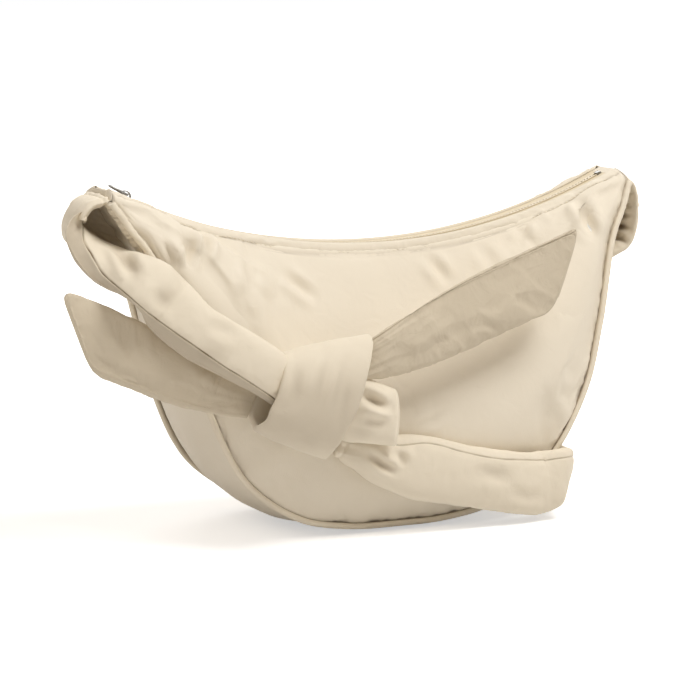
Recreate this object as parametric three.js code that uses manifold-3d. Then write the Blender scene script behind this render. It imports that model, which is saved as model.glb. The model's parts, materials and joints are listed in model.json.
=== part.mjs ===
// A crescent shoulder bag in padded cloth. Its strap is in two halves, tied in a knot on the front.
// Millimetres, +Z up, front towards -Y. The origin is the middle of the flat patch that the bag rests on.
import * as THREE from "three";
import { mergeVertices } from "three/addons/utils/BufferGeometryUtils.js";
import Module from "manifold-3d";

const wasm = await Module();
wasm.setup();

// Body
const tipReach = 190; // middle of the bag to the seam at each horn
const tipHeight = 226; // seam at each horn, above the base
const seamRise = 6; // lowest point of the two side seams, above the base
const baseDepth = 104; // front seam to back seam, low on the bag
const hornDepth = 48; // front seam to back seam, at each horn
const panelSwell = 21; // how far each padded panel stands out past its seam
const gussetSwell = 8; // how far the padded gusset stands out past the seams
const bodyLean = 6; // sideways lean of the soft body at half its height
const hornRise = 7; // top corner of each panel, above the end of its seam
const hornInset = 3; // top corner of each panel, inside the end of its seam

// Cloth layers
const coverThick = 2.4; // outer cloth on its backing
const waddingThick = 4;
const liningThick = 0.9;
const layerGap = 0.5; // between one layer and the next
const seamGap = 0.7; // between two edges that a seam joins
const hemSlope = 1.4; // drop of a layer's top edge for each unit of depth
const pipingRadius = 2.6;
const fitGap = 0.4; // between pieces that touch

// Zip
const zipRadius = 424; // the closed zip hangs in a round arc
const zipEndRise = 4.05; // ends of the arc, above the seam at each horn
const zipHalf = 12.5; // middle of the zip to the hem of each panel
const hornCap = 8; // end of the zip's tape to the horn
const tapeThick = 1;
const tapeDrop = 2.2; // middle of the tape, below the hems
const toothPitch = 5; // from one tooth to the next of the same row
const toothHead = 1.7; // along the zip, at the tip of a tooth
const toothNeck = 1.1; // and at its root
const toothReach = 1.1; // root of a tooth to the middle line
const toothLap = 0.7; // tip of a tooth past the middle line
const toothHeight = 2.4;
const cordWidth = 1.2; // the cord that carries the teeth
const partedLength = 10; // stretch of each row that stays apart, at the closed end
const partedHalf = 2.1;
const stopLength = 3.4;
const stopWall = 0.8;
const tabLength = 4.5;
const tabThick = 1.4;

// Slider and its pull
const sliderSetback = 11; // middle of the slider to the closed end of the zip, along it
const sliderLength = 13;
const sliderWidth = 9.2;
const sliderTail = 6.9; // width at the closed end
const plateThick = 1.1;
const flangeThick = 0.9;
const runGap = 0.35; // between the slider and the teeth
const wedgeLength = 4;
const wedgeHalf = 1.2;
const crownLength = 8.4;
const crownWidth = 2.2;
const crownHeight = 3.6;
const crownThick = 0.8;
const pullLength = 14;
const pullWidth = 8;
const pullWire = 0.75; // radius
const pullRest = 0.08; // angle of the pull above the slider, in radians

// Strap
const strapWidth = 46;
const strapThick = 15;
const foldThick = 8; // the strap is pressed flat where it turns down from each horn
const leftFoldReach = 16; // how far each fold stands out of the horn, and how far it falls
const leftFoldFall = 16;
const rightFoldReach = 10;
const rightFoldFall = 18;
const strapDrop = 8; // middle of the strap's root, below the horn's top corner
const leftRootGap = 0.8; // end of each root to the horn
const rightRootGap = 1.7;

// Knot and tails
const knotTilt = -0.38; // fall of the knot's long axis, in radians
const knotAcrossShare = 0.343; // place of the knot on the front panel, along it
const knotDownShare = 0.579; // and down it
const bandLeft = 31; // the wrapped band, to each side of the knot's middle
const bandRight = 25;
const bandThick = 5;
const bandSquareShare = 0.8; // 1 is an oval band, and less is a squarer one
const bandDepth = 21; // half the depth of the knot
const bandNarrow = 28; // half the band's height at its left edge
const bandWide = 44; // and at its right edge
const bandNarrowRise = -4; // middle of the left edge, above the knot's axis
const bandWideRise = 11;
const knotGap = 1.4; // band to the tails, which swing
const loopReach = 36; // the bight that stands out of the band's right side
const loopHeight = 43;
const loopEndHeight = 38;
const loopThick = 18;
const loopRise = 4; // middle of the bight's root, above the knot's axis
const loopOut = 1; // middle of the bight, away from the panel

// Tails
const leftTailWidth = 44;
const rightTailWidth = 48;
const tailThick = 11;
const tailRootWidth = 23;
const tailEdge = 2.4; // thickness at the sewn end and where the tail leaves the knot
const leftTailLength = 119;
const rightTailLength = 161;
const leftTailDrop = 13; // middle of the root, below the knot's axis
const leftTailSink = 14; // and towards the panel
const rightTailRise = 38;
const rightTailOut = 4;

const V = (x, y, z) => new THREE.Vector3(x, y, z);
const mix = (a, b, share) => a + (b - a) * share;
const TURN = Math.PI * 2;

const cloth = { roughness: 0.78, metalness: 0 };
const outerCloth = new THREE.MeshStandardMaterial({ color: 0xe6dcc6, ...cloth });
const pipingCloth = new THREE.MeshStandardMaterial({ color: 0xd9ccb2, ...cloth });
const strapCloth = new THREE.MeshStandardMaterial({ color: 0xe2d8c2, ...cloth });
const waddingFelt = new THREE.MeshStandardMaterial({ color: 0xf2f0ea, roughness: 0.95 });
const liningCloth = new THREE.MeshStandardMaterial({ color: 0xd8cdb6, roughness: 0.7 });
const zipNylon = new THREE.MeshStandardMaterial({ color: 0xddd0b8, roughness: 0.6 });
const sliderMetal = new THREE.MeshStandardMaterial({ color: 0x8c8a86, roughness: 0.3, metalness: 1 });

const bag = new THREE.Group();
const front = -1;
const back = 1;

// Closed surfaces from points and quads

function closedGeometry(points, quads, triangles = []) {
  const index = [];
  quads.forEach(([a, b, c, d]) => index.push(a, b, c, a, c, d));
  triangles.forEach((triangle) => index.push(...triangle));
  let volume = 0;
  for (let i = 0; i < index.length; i += 3) {
    const [p, q, r] = [points[index[i]], points[index[i + 1]], points[index[i + 2]]];
    volume += p.dot(q.clone().cross(r));
  }
  if (volume < 0) index.reverse();
  const geometry = new THREE.BufferGeometry();
  const numbers = points.flatMap((p) => p.toArray());
  geometry.setAttribute("position", new THREE.Float32BufferAttribute(numbers, 3));
  geometry.setIndex(index);
  return geometry;
}

// A sheet of cloth with a thickness: two grids of points, joined round their rims.
function sheetGeometry(across, along, outer, inner) {
  const points = [];
  const at = (layer, i, j) => (layer * (across + 1) + i) * (along + 1) + j;
  for (const face of [outer, inner]) {
    for (let i = 0; i <= across; i++) {
      for (let j = 0; j <= along; j++) {
        points.push(face(i / across, j / along));
      }
    }
  }
  const quads = [];
  for (let i = 0; i < across; i++) {
    for (let j = 0; j < along; j++) {
      quads.push([at(0, i, j), at(0, i + 1, j), at(0, i + 1, j + 1), at(0, i, j + 1)]);
      quads.push([at(1, i, j), at(1, i, j + 1), at(1, i + 1, j + 1), at(1, i + 1, j)]);
    }
  }
  for (let i = 0; i < across; i++) {
    quads.push([at(0, i, 0), at(1, i, 0), at(1, i + 1, 0), at(0, i + 1, 0)]);
    quads.push([at(0, i, along), at(0, i + 1, along), at(1, i + 1, along), at(1, i, along)]);
  }
  for (let j = 0; j < along; j++) {
    quads.push([at(0, 0, j), at(0, 0, j + 1), at(1, 0, j + 1), at(1, 0, j)]);
    quads.push([at(0, across, j), at(1, across, j), at(1, across, j + 1), at(0, across, j + 1)]);
  }
  return closedGeometry(points, quads);
}

// A tube through rings of points. Its ends are closed, or it joins up with itself.
function tubeGeometry(rings, joined = false) {
  const sides = rings[0].length;
  const points = rings.flat();
  const quads = [];
  const last = joined ? rings.length : rings.length - 1;
  for (let i = 0; i < last; i++) {
    for (let j = 0; j < sides; j++) {
      const next = (i + 1) % rings.length;
      const side = (j + 1) % sides;
      quads.push([i * sides + j, i * sides + side, next * sides + side, next * sides + j]);
    }
  }
  const caps = [];
  for (const end of joined ? [] : [0, rings.length - 1]) {
    const middle = rings[end].reduce((sum, p) => sum.add(p), V(0, 0, 0)).divideScalar(sides);
    points.push(middle);
    for (let j = 0; j < sides; j++) {
      const pair = [end * sides + j, end * sides + ((j + 1) % sides)];
      if (end === 0) pair.reverse();
      caps.push([points.length - 1, ...pair]);
    }
  }
  return closedGeometry(points, quads, caps);
}

// A puffed oval section: wide along w, thin along n.
function ovalRing(centre, w, n, width, thick, sides, squareness = 0.75) {
  const ring = [];
  for (let j = 0; j < sides; j++) {
    const angle = (j / sides) * TURN;
    const a = Math.sign(Math.cos(angle)) * Math.abs(Math.cos(angle)) ** squareness;
    const b = Math.sin(angle);
    const out = centre.clone().addScaledVector(w, (a * width) / 2);
    ring.push(out.addScaledVector(n, (b * thick) / 2));
  }
  return ring;
}

function solidOf(geometry) {
  const bare = geometry.clone().deleteAttribute("normal").deleteAttribute("uv");
  const merged = mergeVertices(bare, layerGap / 100);
  return new wasm.Manifold(
    new wasm.Mesh({
      numProp: 3,
      vertProperties: merged.attributes.position.array,
      triVerts: new Uint32Array(merged.index.array),
    }),
  );
}

function geometryOf(solid) {
  const mesh = solid.getMesh();
  const geometry = new THREE.BufferGeometry();
  geometry.setAttribute("position", new THREE.BufferAttribute(mesh.vertProperties, mesh.numProp));
  geometry.setIndex(new THREE.BufferAttribute(mesh.triVerts, 1));
  return geometry;
}

function addMesh(name, geometry, material, parent = bag) {
  const mesh = new THREE.Mesh(geometry, material);
  mesh.name = name;
  parent.add(mesh);
  return mesh;
}

// The body's surfaces

// Right half of the side seam, from the base to the horn: shares of the horn's reach and height.
const seamShares = [
  [0, 0],
  [0.2, 0.006],
  [0.385, 0.042],
  [0.585, 0.16],
  [0.72, 0.36],
  [0.79, 0.56],
  [0.88, 0.82],
  [0.945, 0.915],
  [1, 1],
];
const seamAt = ([across, up]) =>
  V(across * tipReach + bodyLean * Math.sin(Math.PI * up), 0, mix(seamRise, tipHeight, up));
const leftShares = seamShares.slice(1).reverse().map(([across, up]) => [-across, up]);
const seamCurve = new THREE.CatmullRomCurve3([...leftShares, ...seamShares].map(seamAt));

// A point of the seam's outline, moved inwards, where along runs from the left horn to the right one.
function seamPoint(along, inset) {
  const tangent = seamCurve.getTangentAt(along);
  return seamCurve.getPointAt(along).addScaledVector(V(-tangent.z, 0, tangent.x), inset);
}

function halfDepth(height) {
  const share = Math.min(1, Math.max(0, height / tipHeight));
  return mix(hornDepth, baseDepth, (1 - share ** 2) ** 0.8) / 2;
}

// The arc's ends are tied to the horns, so its lowest point follows from them.
const zipReach = tipReach - hornCap;
const zipLow = tipHeight + zipEndRise - zipRadius + Math.sqrt(zipRadius ** 2 - zipReach ** 2);
const zipArc = (x) => zipLow + zipRadius - Math.sqrt(zipRadius ** 2 - x ** 2);

// Height of the hems: they follow the zip, and level out beyond its ends.
function hemHeight(x) {
  const beyond = Math.max(0, Math.abs(x) - zipReach) / (tipReach - zipReach);
  const reach = Math.min(Math.abs(x), zipReach);
  return mix(zipArc(reach), tipHeight + hornRise, beyond * beyond * (3 - 2 * beyond));
}

// A point of the front (side -1) or back (side 1) panel, at a depth below its outer face.
function panelPoint(side, along, down, depth) {
  const reach = tipReach - hornInset - depth;
  const x = mix(-reach, reach, along);
  const top = V(x, 0, hemHeight(x) - depth * hemSlope);
  const seam = seamPoint(along, depth);
  const point = top.lerp(seam, down);
  const rim = mix(zipHalf, halfDepth(seam.z), Math.sin((down * Math.PI) / 2) ** 0.8);
  const swell = panelSwell * Math.sin(Math.PI * along) ** 0.6 * Math.sin(Math.PI * down ** 1.15) ** 0.85;
  const sink = depth * Math.sin((Math.min(1, down * 4) * Math.PI) / 2);
  point.y = side * (rim + swell - sink);
  return point;
}

// A point of the gusset, from the front seam to the back one.
function gussetPoint(along, over, depth) {
  const seam = seamPoint(along, depth);
  const half = halfDepth(seam.z) - depth;
  const swell = gussetSwell * Math.sin(Math.PI * over) * Math.sin(Math.PI * along) ** 0.5;
  const point = seamPoint(along, depth - swell);
  point.y = mix(-half, half, over);
  point.z = Math.max(point.z, depth);
  return point;
}

const layers = {
  cover: [0, coverThick],
  wadding: [coverThick + layerGap, coverThick + layerGap + waddingThick],
  lining: [
    coverThick + waddingThick + layerGap * 2,
    coverThick + waddingThick + layerGap * 2 + liningThick,
  ],
};
const panelColumns = 22;
const panelRows = 7;
const gussetColumns = 36;
const gussetRows = 4;
const seamShare = seamGap / hornDepth; // of a piece's width, left free along its seams

// The inner layers use the outer one's columns, and leave out a few at each horn.
function addPanel(name, side, [outside, inside], skipped, material) {
  const start = skipped / panelColumns;
  const face = (depth) => (u, v) =>
    panelPoint(side, mix(start, 1 - start, u), v * (1 - seamShare / 2), depth);
  const geometry = sheetGeometry(panelColumns - skipped * 2, panelRows, face(outside), face(inside));
  addMesh(name, geometry, material);
}

function addGusset(name, [outside, inside], skipped, material) {
  const start = skipped / gussetColumns;
  const face = (depth) => (u, v) =>
    gussetPoint(mix(start, 1 - start, u), mix(seamShare, 1 - seamShare, v), depth);
  const geometry = sheetGeometry(gussetColumns - skipped * 2, gussetRows, face(outside), face(inside));
  addMesh(name, geometry, material);
}

function addBody() {
  addPanel("front_panel", front, layers.cover, 0, outerCloth);
  addPanel("back_panel", back, layers.cover, 0, outerCloth);
  addGusset("gusset", layers.cover, 0, outerCloth);
  addPanel("front_wadding", front, layers.wadding, 2, waddingFelt);
  addPanel("back_wadding", back, layers.wadding, 2, waddingFelt);
  addGusset("gusset_wadding", layers.wadding, 3, waddingFelt);
  addPanel("front_lining", front, layers.lining, 2, liningCloth);
  addPanel("back_lining", back, layers.lining, 2, liningCloth);
  addGusset("gusset_lining", layers.lining, 3, liningCloth);
}

const pipingStartShare = 0.045;
const pipingSteps = 44;
const pipingSides = 6;

function addPiping(name, side) {
  const rings = [];
  for (let i = 0; i <= pipingSteps; i++) {
    const along = mix(pipingStartShare, 1 - pipingStartShare, i / pipingSteps);
    const out = seamPoint(along, -1).sub(seamPoint(along, 0));
    const corner = seamPoint(along, 0);
    corner.y = side * halfDepth(corner.z);
    const away = out.clone().add(V(0, side, 0)).normalize();
    const centre = corner.addScaledVector(away, pipingRadius + fitGap * 3);
    rings.push(ovalRing(centre, out, V(0, side, 0), pipingRadius * 2, pipingRadius * 2, pipingSides, 1));
  }
  addMesh(name, tubeGeometry(rings), pipingCloth);
}

// The zip is drawn flat along its length and then bent to the arc.

function bendToArc(geometry, height) {
  const position = geometry.attributes.position;
  for (let i = 0; i < position.count; i++) {
    const angle = position.getX(i) / zipRadius;
    const radius = zipRadius - height - position.getZ(i);
    const z = zipLow + zipRadius - Math.cos(angle) * radius;
    position.setXYZ(i, Math.sin(angle) * radius, position.getY(i), z);
  }
  return geometry;
}

const zipHalfLength = Math.asin(zipReach / zipRadius) * zipRadius;
const tapeColumns = 30;
const tapeCrowdShare = 1.6; // crowds the tape's columns towards the closed end

function extrudeFlat(points, low, high) {
  const shape = new THREE.Shape(points.map(([x, y]) => new THREE.Vector2(x, y)));
  const geometry = new THREE.ExtrudeGeometry(shape, { depth: high - low, bevelEnabled: false });
  return geometry.translate(0, 0, low);
}

// Roots of a row's teeth, from the middle line. The rows swing apart at the closed end.
function rootReach(s) {
  const parted = Math.min(1, Math.max(0, 1 - (s + zipHalfLength) / partedLength) * 2);
  return mix(toothReach, partedHalf, parted);
}

function addTape(name, side) {
  const rings = [];
  for (let i = 0; i <= tapeColumns; i++) {
    const s = mix(-zipHalfLength, zipHalfLength, (i / tapeColumns) ** tapeCrowdShare);
    const inner = side * (rootReach(s) + cordWidth + fitGap);
    const outer = side * (zipHalf - fitGap);
    const low = -tapeThick / 2;
    rings.push([V(s, inner, low), V(s, outer, low), V(s, outer, -low), V(s, inner, -low)]);
  }
  addMesh(name, bendToArc(tubeGeometry(rings), -tapeDrop), zipNylon);
}

// A comb of dovetail teeth on a cord. Each column has the cord's two edges, and a tooth adds its tip.
function addTeeth(name, side, phaseShare) {
  const points = [];
  const quads = [];
  const corner = (s, y) => {
    points.push(V(s, side * y, toothHeight / 2), V(s, side * y, -toothHeight / 2));
    return points.length - 2;
  };
  const face = (a, b, c, d) => quads.push([a, b, c, d], [d + 1, c + 1, b + 1, a + 1]);
  const wall = (a, b) => quads.push([a, b, b + 1, a + 1]);
  const column = (s) => ({ edge: corner(s, rootReach(s) + cordWidth), root: corner(s, rootReach(s)) });
  const cordPiece = (from, to, bare) => {
    face(from.edge, to.edge, to.root, from.root);
    wall(to.edge, from.edge);
    if (bare) wall(from.root, to.root);
  };
  const start = -zipHalfLength + stopLength + fitGap;
  const end = zipHalfLength - stopLength - fitGap * 2;
  let last = column(start);
  wall(last.edge, last.root);
  const firstTooth = -zipHalfLength + partedLength + toothPitch * phaseShare;
  for (let s = firstTooth; s < end - toothHead; s += toothPitch) {
    const from = column(s - toothNeck / 2);
    const to = column(s + toothNeck / 2);
    const tipFrom = corner(s - toothHead / 2, -toothLap);
    const tipTo = corner(s + toothHead / 2, -toothLap);
    cordPiece(last, from, true);
    cordPiece(from, to, false);
    face(from.root, to.root, tipTo, tipFrom);
    wall(from.root, tipFrom);
    wall(tipFrom, tipTo);
    wall(tipTo, to.root);
    last = to;
  }
  const finish = column(end);
  cordPiece(last, finish, true);
  wall(finish.root, finish.edge);
  addMesh(name, bendToArc(closedGeometry(points, quads), -tapeDrop), zipNylon);
}

// A stop is a short metal block at the end of the rows.
function addStop(name, s, inner, outer) {
  const half = toothHeight / 2 + stopWall;
  const points = [
    [s, inner],
    [s + stopLength, inner],
    [s + stopLength, outer],
    [s, outer],
  ];
  addMesh(name, bendToArc(extrudeFlat(points, -half, half), -tapeDrop), sliderMetal);
}

function addZip() {
  addTape("zip_tape_front", front);
  addTape("zip_tape_back", back);
  addTeeth("zip_teeth_front", front, 0.3);
  addTeeth("zip_teeth_back", back, 0.8);
  const cordOuter = toothReach + cordWidth;
  const partedOuter = partedHalf + cordWidth;
  addStop("zip_bottom_stop", zipHalfLength - stopLength - fitGap, -cordOuter, cordOuter);
  addStop("zip_top_stop_front", -zipHalfLength, -partedOuter, -partedHalf);
  addStop("zip_top_stop_back", -zipHalfLength, partedHalf, partedOuter);
}

// Cloth tabs that close the top beyond each end of the zip.
function addEndTab(name, side) {
  const start = zipReach + tapeDrop + fitGap;
  const half = zipHalf - fitGap;
  const ring = (x) => {
    const middle = hemHeight(x) - tapeDrop;
    const [low, high] = [middle - tabThick / 2, middle + tabThick / 2];
    const corner = (y, z) => V(side * x, y, z);
    return [corner(-half, low), corner(half, low), corner(half, high), corner(-half, high)];
  };
  addMesh(name, tubeGeometry([ring(start), ring(start + tabLength)]), liningCloth);
}

// The slider is drawn at the bottom of the arc, then carried round it.
function addSlider() {
  const carried = new THREE.Group();
  carried.position.set(0, 0, zipLow + zipRadius);
  carried.rotation.y = (zipHalfLength - sliderSetback) / zipRadius;
  bag.add(carried);
  const slider = new THREE.Group();
  slider.position.set(0, 0, -zipRadius - tapeDrop);
  carried.add(slider);

  const plateLow = toothHeight / 2 + runGap;
  const nose = -sliderLength / 2;
  const tail = sliderLength / 2;
  const wide = sliderWidth / 2;
  const narrow = sliderTail / 2;
  const mirrored = (points, side) => points.map(([x, y]) => [x, side * y]);
  const shoulder = [
    [nose * 0.1, wide],
    [tail * 0.5, narrow],
    [tail * 0.9, narrow],
  ];
  const edge = [[nose, wide * 0.55], [nose * 0.62, wide], ...shoulder, [tail, narrow * 0.7]];
  const outline = [...edge, ...mirrored(edge, -1).reverse()];
  const plate = (low, high) => solidOf(extrudeFlat(outline, low, high));
  const inward = shoulder.map(([x, y]) => [x, y - flangeThick]).reverse();
  const flange = (side, low, high) =>
    solidOf(extrudeFlat(mirrored([...shoulder, ...inward], side), low, high));
  const wedge = extrudeFlat(
    [
      [nose, 0],
      [nose + wedgeLength * 0.4, -wedgeHalf],
      [nose + wedgeLength, 0],
      [nose + wedgeLength * 0.4, wedgeHalf],
    ],
    -plateLow - plateThick / 2,
    plateLow + plateThick / 2,
  );
  const flangeLow = tapeThick / 2 + runGap;
  let body = plate(plateLow, plateLow + plateThick).add(plate(-plateLow - plateThick, -plateLow));
  body = body.add(solidOf(wedge));
  for (const side of [front, back]) {
    body = body.add(flange(side, flangeLow, plateLow + plateThick / 2));
    body = body.add(flange(side, -plateLow - plateThick / 2, -flangeLow));
  }
  addMesh("zip_slider_body", geometryOf(body), sliderMetal, slider);

  // The crown is an arch along the slider, that the pull's bar lies under.
  const crownFoot = plateLow + plateThick + fitGap / 4;
  const arch = [];
  const steps = 8;
  for (let i = 0; i <= steps; i++) {
    const angle = Math.PI * (1 - i / steps);
    arch.push([(Math.cos(angle) * crownLength) / 2, crownFoot + Math.sin(angle) * crownHeight]);
  }
  for (let i = steps; i >= 0; i--) {
    const angle = Math.PI * (1 - i / steps);
    const inside = crownLength / 2 - crownThick;
    arch.push([Math.cos(angle) * inside, crownFoot + Math.sin(angle) * (crownHeight - crownThick)]);
  }
  const crown = extrudeFlat(arch, -crownWidth / 2, crownWidth / 2).rotateX(Math.PI / 2);
  addMesh("zip_slider_crown", crown, sliderMetal, slider);

  // The pull is a loop of wire, whose bar is the hinge.
  const barHeight = crownFoot + pullWire + fitGap;
  const hinge = new THREE.Group();
  hinge.position.set(0, 0, barHeight);
  hinge.rotation.y = pullRest;
  slider.add(hinge);
  const corners = 24;
  const wireSides = 6;
  const halfLoop = pullWidth / 2 - pullWire;
  const places = [];
  for (let i = 0; i < corners; i++) {
    const angle = (i / corners) * TURN;
    const far = Math.cos(angle) < 0;
    const x = far ? Math.cos(angle) * (pullLength - pullWire * 2) : 0;
    places.push(V(x, Math.sin(angle) * halfLoop, 0));
  }
  const loop = new THREE.CatmullRomCurve3(places, true);
  const wire = [];
  for (let i = 0; i < corners; i++) {
    const tangent = loop.getTangentAt(i / corners);
    const side = V(-tangent.y, tangent.x, 0).normalize();
    const at = loop.getPointAt(i / corners);
    wire.push(ovalRing(at, side, V(0, 0, 1), pullWire * 2, pullWire * 2, wireSides, 1));
  }
  addMesh("zip_pull", tubeGeometry(wire, true), sliderMetal, hinge);
}

// The strap: a puffed oval swept through stations, each with its width's direction

function sweep(stations, perStation, sides) {
  const path = new THREE.CatmullRomCurve3(stations.map((s) => s.at), false, "catmullrom", 0.5);
  const width = new THREE.CatmullRomCurve3(stations.map((s) => s.w), false, "catmullrom", 0.5);
  const size = new THREE.CatmullRomCurve3(
    stations.map((s) => V(s.width ?? strapWidth, s.thick ?? strapThick, 0)),
    false,
    "catmullrom",
    0.5,
  );
  const rings = [];
  const steps = (stations.length - 1) * perStation;
  for (let i = 0; i <= steps; i++) {
    const share = i / steps;
    const tangent = path.getTangent(share);
    const w = width.getPoint(share);
    w.addScaledVector(tangent, -w.dot(tangent)).normalize();
    const n = tangent.clone().cross(w);
    const { x, y } = size.getPoint(share);
    rings.push(ovalRing(path.getPoint(share), w, n, x, y, sides));
  }
  return tubeGeometry(rings);
}

// Place on the seam at a height, on the left (side -1) or the right (side 1).
function alongAt(side, height) {
  let [low, high] = side < 0 ? [0.5, 0] : [0.5, 1];
  for (let halving = 0; halving < 24; halving++) {
    const along = (low + high) / 2;
    if (seamPoint(along, 0).z < height) low = along;
    else high = along;
  }
  return low;
}

// A station beside the gusset. The depth share is -1 at the front seam and 1 at the back one.
function beside(side, upShare, depthShare, standoff, w, size = {}) {
  const at = seamPoint(alongAt(side, upShare * tipHeight), -gussetSwell - standoff);
  at.y = depthShare * halfDepth(upShare * tipHeight);
  return { at, w, ...size };
}

// A station before the front panel or behind the back one.
function before(side, acrossShare, upShare, swellShare, standoff, w, size = {}) {
  const z = upShare * tipHeight;
  const y = side * (halfDepth(z) + panelSwell * swellShare + standoff);
  return { at: V(acrossShare * tipReach, y, z), w, ...size };
}

// The knot's own frame: X along its axis, Y up the band, Z out of the bag.
const knot = new THREE.Group();
const knotFoot = panelPoint(front, knotAcrossShare, knotDownShare, 0);
knot.position.copy(knotFoot).add(V(0, -(bandDepth + fitGap * 6), 0));
knot.rotation.set(Math.PI / 2, 0, 0);
knot.rotateZ(knotTilt);
bag.add(knot);
knot.updateMatrixWorld(true);
const fromKnot = (x, y, z) => knot.localToWorld(V(x, y, z));
const knotWay = (x, y, z) => V(x, y, z).transformDirection(knot.matrixWorld);

// From a horn the strap leaves level and turns down in a tight fold.
function foldStations(side, gap, reach, fall) {
  const root = V(side * (tipReach + gap), 0, tipHeight + hornRise - strapDrop);
  const turn = (angle) =>
    root.clone().add(V(side * Math.sin(angle) * reach, 0, (Math.cos(angle) - 1) * fall));
  return [0, 0.25, 0.5].map((share) => ({ at: turn(share * Math.PI), w: V(0, -side, 0), thick: foldThick }));
}

const half = strapThick / 2;

// The left half twists on its way to the front, and goes into the knot over the left tail.
function addLeftStrap() {
  const stations = [
    ...foldStations(-1, leftRootGap, leftFoldReach, leftFoldFall),
    beside(-1, 0.94, -0.34, half * 2.15, V(0.35, 0.95, 0.1), {
      width: strapWidth * 1.06,
      thick: strapThick * 0.7,
    }),
    beside(-1, 0.886, -1.15, half * 2.36, V(0.7, 0.6, 0.35), {
      width: strapWidth * 0.94,
      thick: strapThick * 0.8,
    }),
    beside(-1, 0.822, -1.92, half * 1.75, V(0.7, 0.2, 0.6), {
      width: strapWidth * 0.84,
      thick: strapThick * 0.86,
    }),
    before(front, -0.892, 0.714, 0.7, half * 2, V(0.62, 0.1, 0.78), { width: strapWidth * 0.88 }),
    before(front, -0.817, 0.647, 0.95, half * 2.2, V(0.56, 0, 0.83), { width: strapWidth * 0.8 }),
    before(front, -0.702, 0.584, 1, half * 2.45, V(0.52, 0, 0.85), { width: strapWidth * 0.8 }),
    {
      at: fromKnot(-bandLeft - half, half * 0.2, half * 0.5),
      w: knotWay(0.1, 1, 0),
      width: strapWidth * 0.78,
    },
    {
      at: fromKnot(-bandLeft + half, -half * 0.4, half * 0.5),
      w: knotWay(0, 1, 0),
      width: strapWidth * 0.62,
    },
  ];
  addMesh("strap_left", sweep(stations, 3, 12), strapCloth);
}

// The right half goes down on the gusset, behind the bag's right edge. It turns round the lower right
// corner to the front, and goes into the knot from below.
function addRightStrap() {
  const up = V(0, 0, 1);
  const stations = [
    ...foldStations(1, rightRootGap, rightFoldReach - rightRootGap, rightFoldFall),
    beside(1, 0.87, 0.1, half * 2.4, V(0, -1, 0), { thick: strapThick * 0.6 }),
    beside(1, 0.76, 0.32, half * 1.2, V(0, -1, 0)),
    beside(1, 0.64, 0.38, half * 1.15, V(0, -1, 0)),
    beside(1, 0.51, 0.4, half * 1.15, V(0, -1, 0)),
    beside(1, 0.39, 0.36, half * 1.15, V(0.1, -1, 0.1)),
    beside(1, 0.285, 0.24, half * 1.2, V(0.25, -0.85, 0.4)),
    beside(1, 0.215, 0, half * 1.3, V(0.45, -0.5, 0.7), { width: strapWidth * 0.88 }),
    beside(1, 0.192, -0.4, half, V(0.6, -0.2, 0.8), { width: strapWidth * 0.66, thick: strapThick * 0.75 }),
    beside(1, 0.186, -0.88, half * 1.15, V(0.45, 0, 0.88), {
      width: strapWidth * 0.64,
      thick: strapThick * 0.75,
    }),
    before(front, 0.61, 0.137, 0, half * 2, V(0.25, 0, 0.97), { width: strapWidth * 0.8 }),
    before(front, 0.53, 0.126, 0.2, half * 1.8, up),
    before(front, 0.45, 0.13, 0.42, half * 1.55, up),
    before(front, 0.32, 0.15, 0.56, half * 1.35, up),
    before(front, 0.16, 0.18, 0.7, half * 1.2, up),
    before(front, 0.02, 0.208, 0.78, half * 1.15, up),
    before(front, -0.11, 0.232, 0.8, half * 1.15, V(0.2, 0, 1), { width: strapWidth * 0.76 }),
    before(front, -0.2, 0.262, 0.84, half * 1.1, V(0.4, 0, 0.9), { width: strapWidth * 0.55 }),
    before(front, -0.28, 0.292, 0.84, half * 0.95, V(0.4, 0, 0.9), {
      width: strapWidth * 0.4,
      thick: foldThick,
    }),
  ];
  addMesh("strap_right", sweep(stations, 2, 12), strapCloth);
}

// Height of the band's middle, and half its height, at a place along the knot's axis.
function bandAt(x) {
  const share = (x + bandLeft) / (bandLeft + bandRight);
  return { rise: mix(bandNarrowRise, bandWideRise, share), reach: mix(bandNarrow, bandWide, share) };
}

// The band is one turn of cloth round the knot, wider at its right edge.
function addBand() {
  const around = 28;
  const columns = 4;
  const rings = [];
  for (let i = 0; i < around; i++) {
    const angle = (i / around) * TURN;
    const ring = [];
    const at = (share, inset) => {
      const x = mix(-bandLeft, bandRight, share);
      const { rise, reach } = bandAt(x);
      const height = Math.sign(Math.sin(angle)) * Math.abs(Math.sin(angle)) ** bandSquareShare;
      return V(x, rise + height * (reach - inset), Math.cos(angle) * (bandDepth - inset));
    };
    for (let j = 0; j <= columns; j++) ring.push(at(j / columns, 0));
    for (let j = columns; j >= 0; j--) ring.push(at(j / columns, bandThick));
    rings.push(ring);
  }
  addMesh("knot_band", tubeGeometry(rings, true), strapCloth, knot);
}

// Where the two halves of the strap cross, inside the band.
function addCrossing() {
  const rings = [];
  const room = bandThick + fitGap;
  for (let i = 0; i <= 4; i++) {
    const x = mix(-bandLeft + strapThick, bandRight, i / 4);
    const { rise, reach } = bandAt(x);
    const tall = (reach - room) * 2;
    const thick = (bandDepth - room) * 2;
    rings.push(ovalRing(V(x, rise, 0), V(0, 1, 0), V(0, 0, 1), tall, thick, 12, 1));
  }
  addMesh("knot_crossing", tubeGeometry(rings), strapCloth, knot);
}

// Each station of the bight: a share of its reach, how far its height has changed, and how full it is.
const bightShares = [
  [0, 0, 0.7],
  [0.3, 0.3, 1],
  [0.65, 0.6, 1],
  [0.9, 0.9, 0.8],
  [1, 1, 0.4],
];

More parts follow.
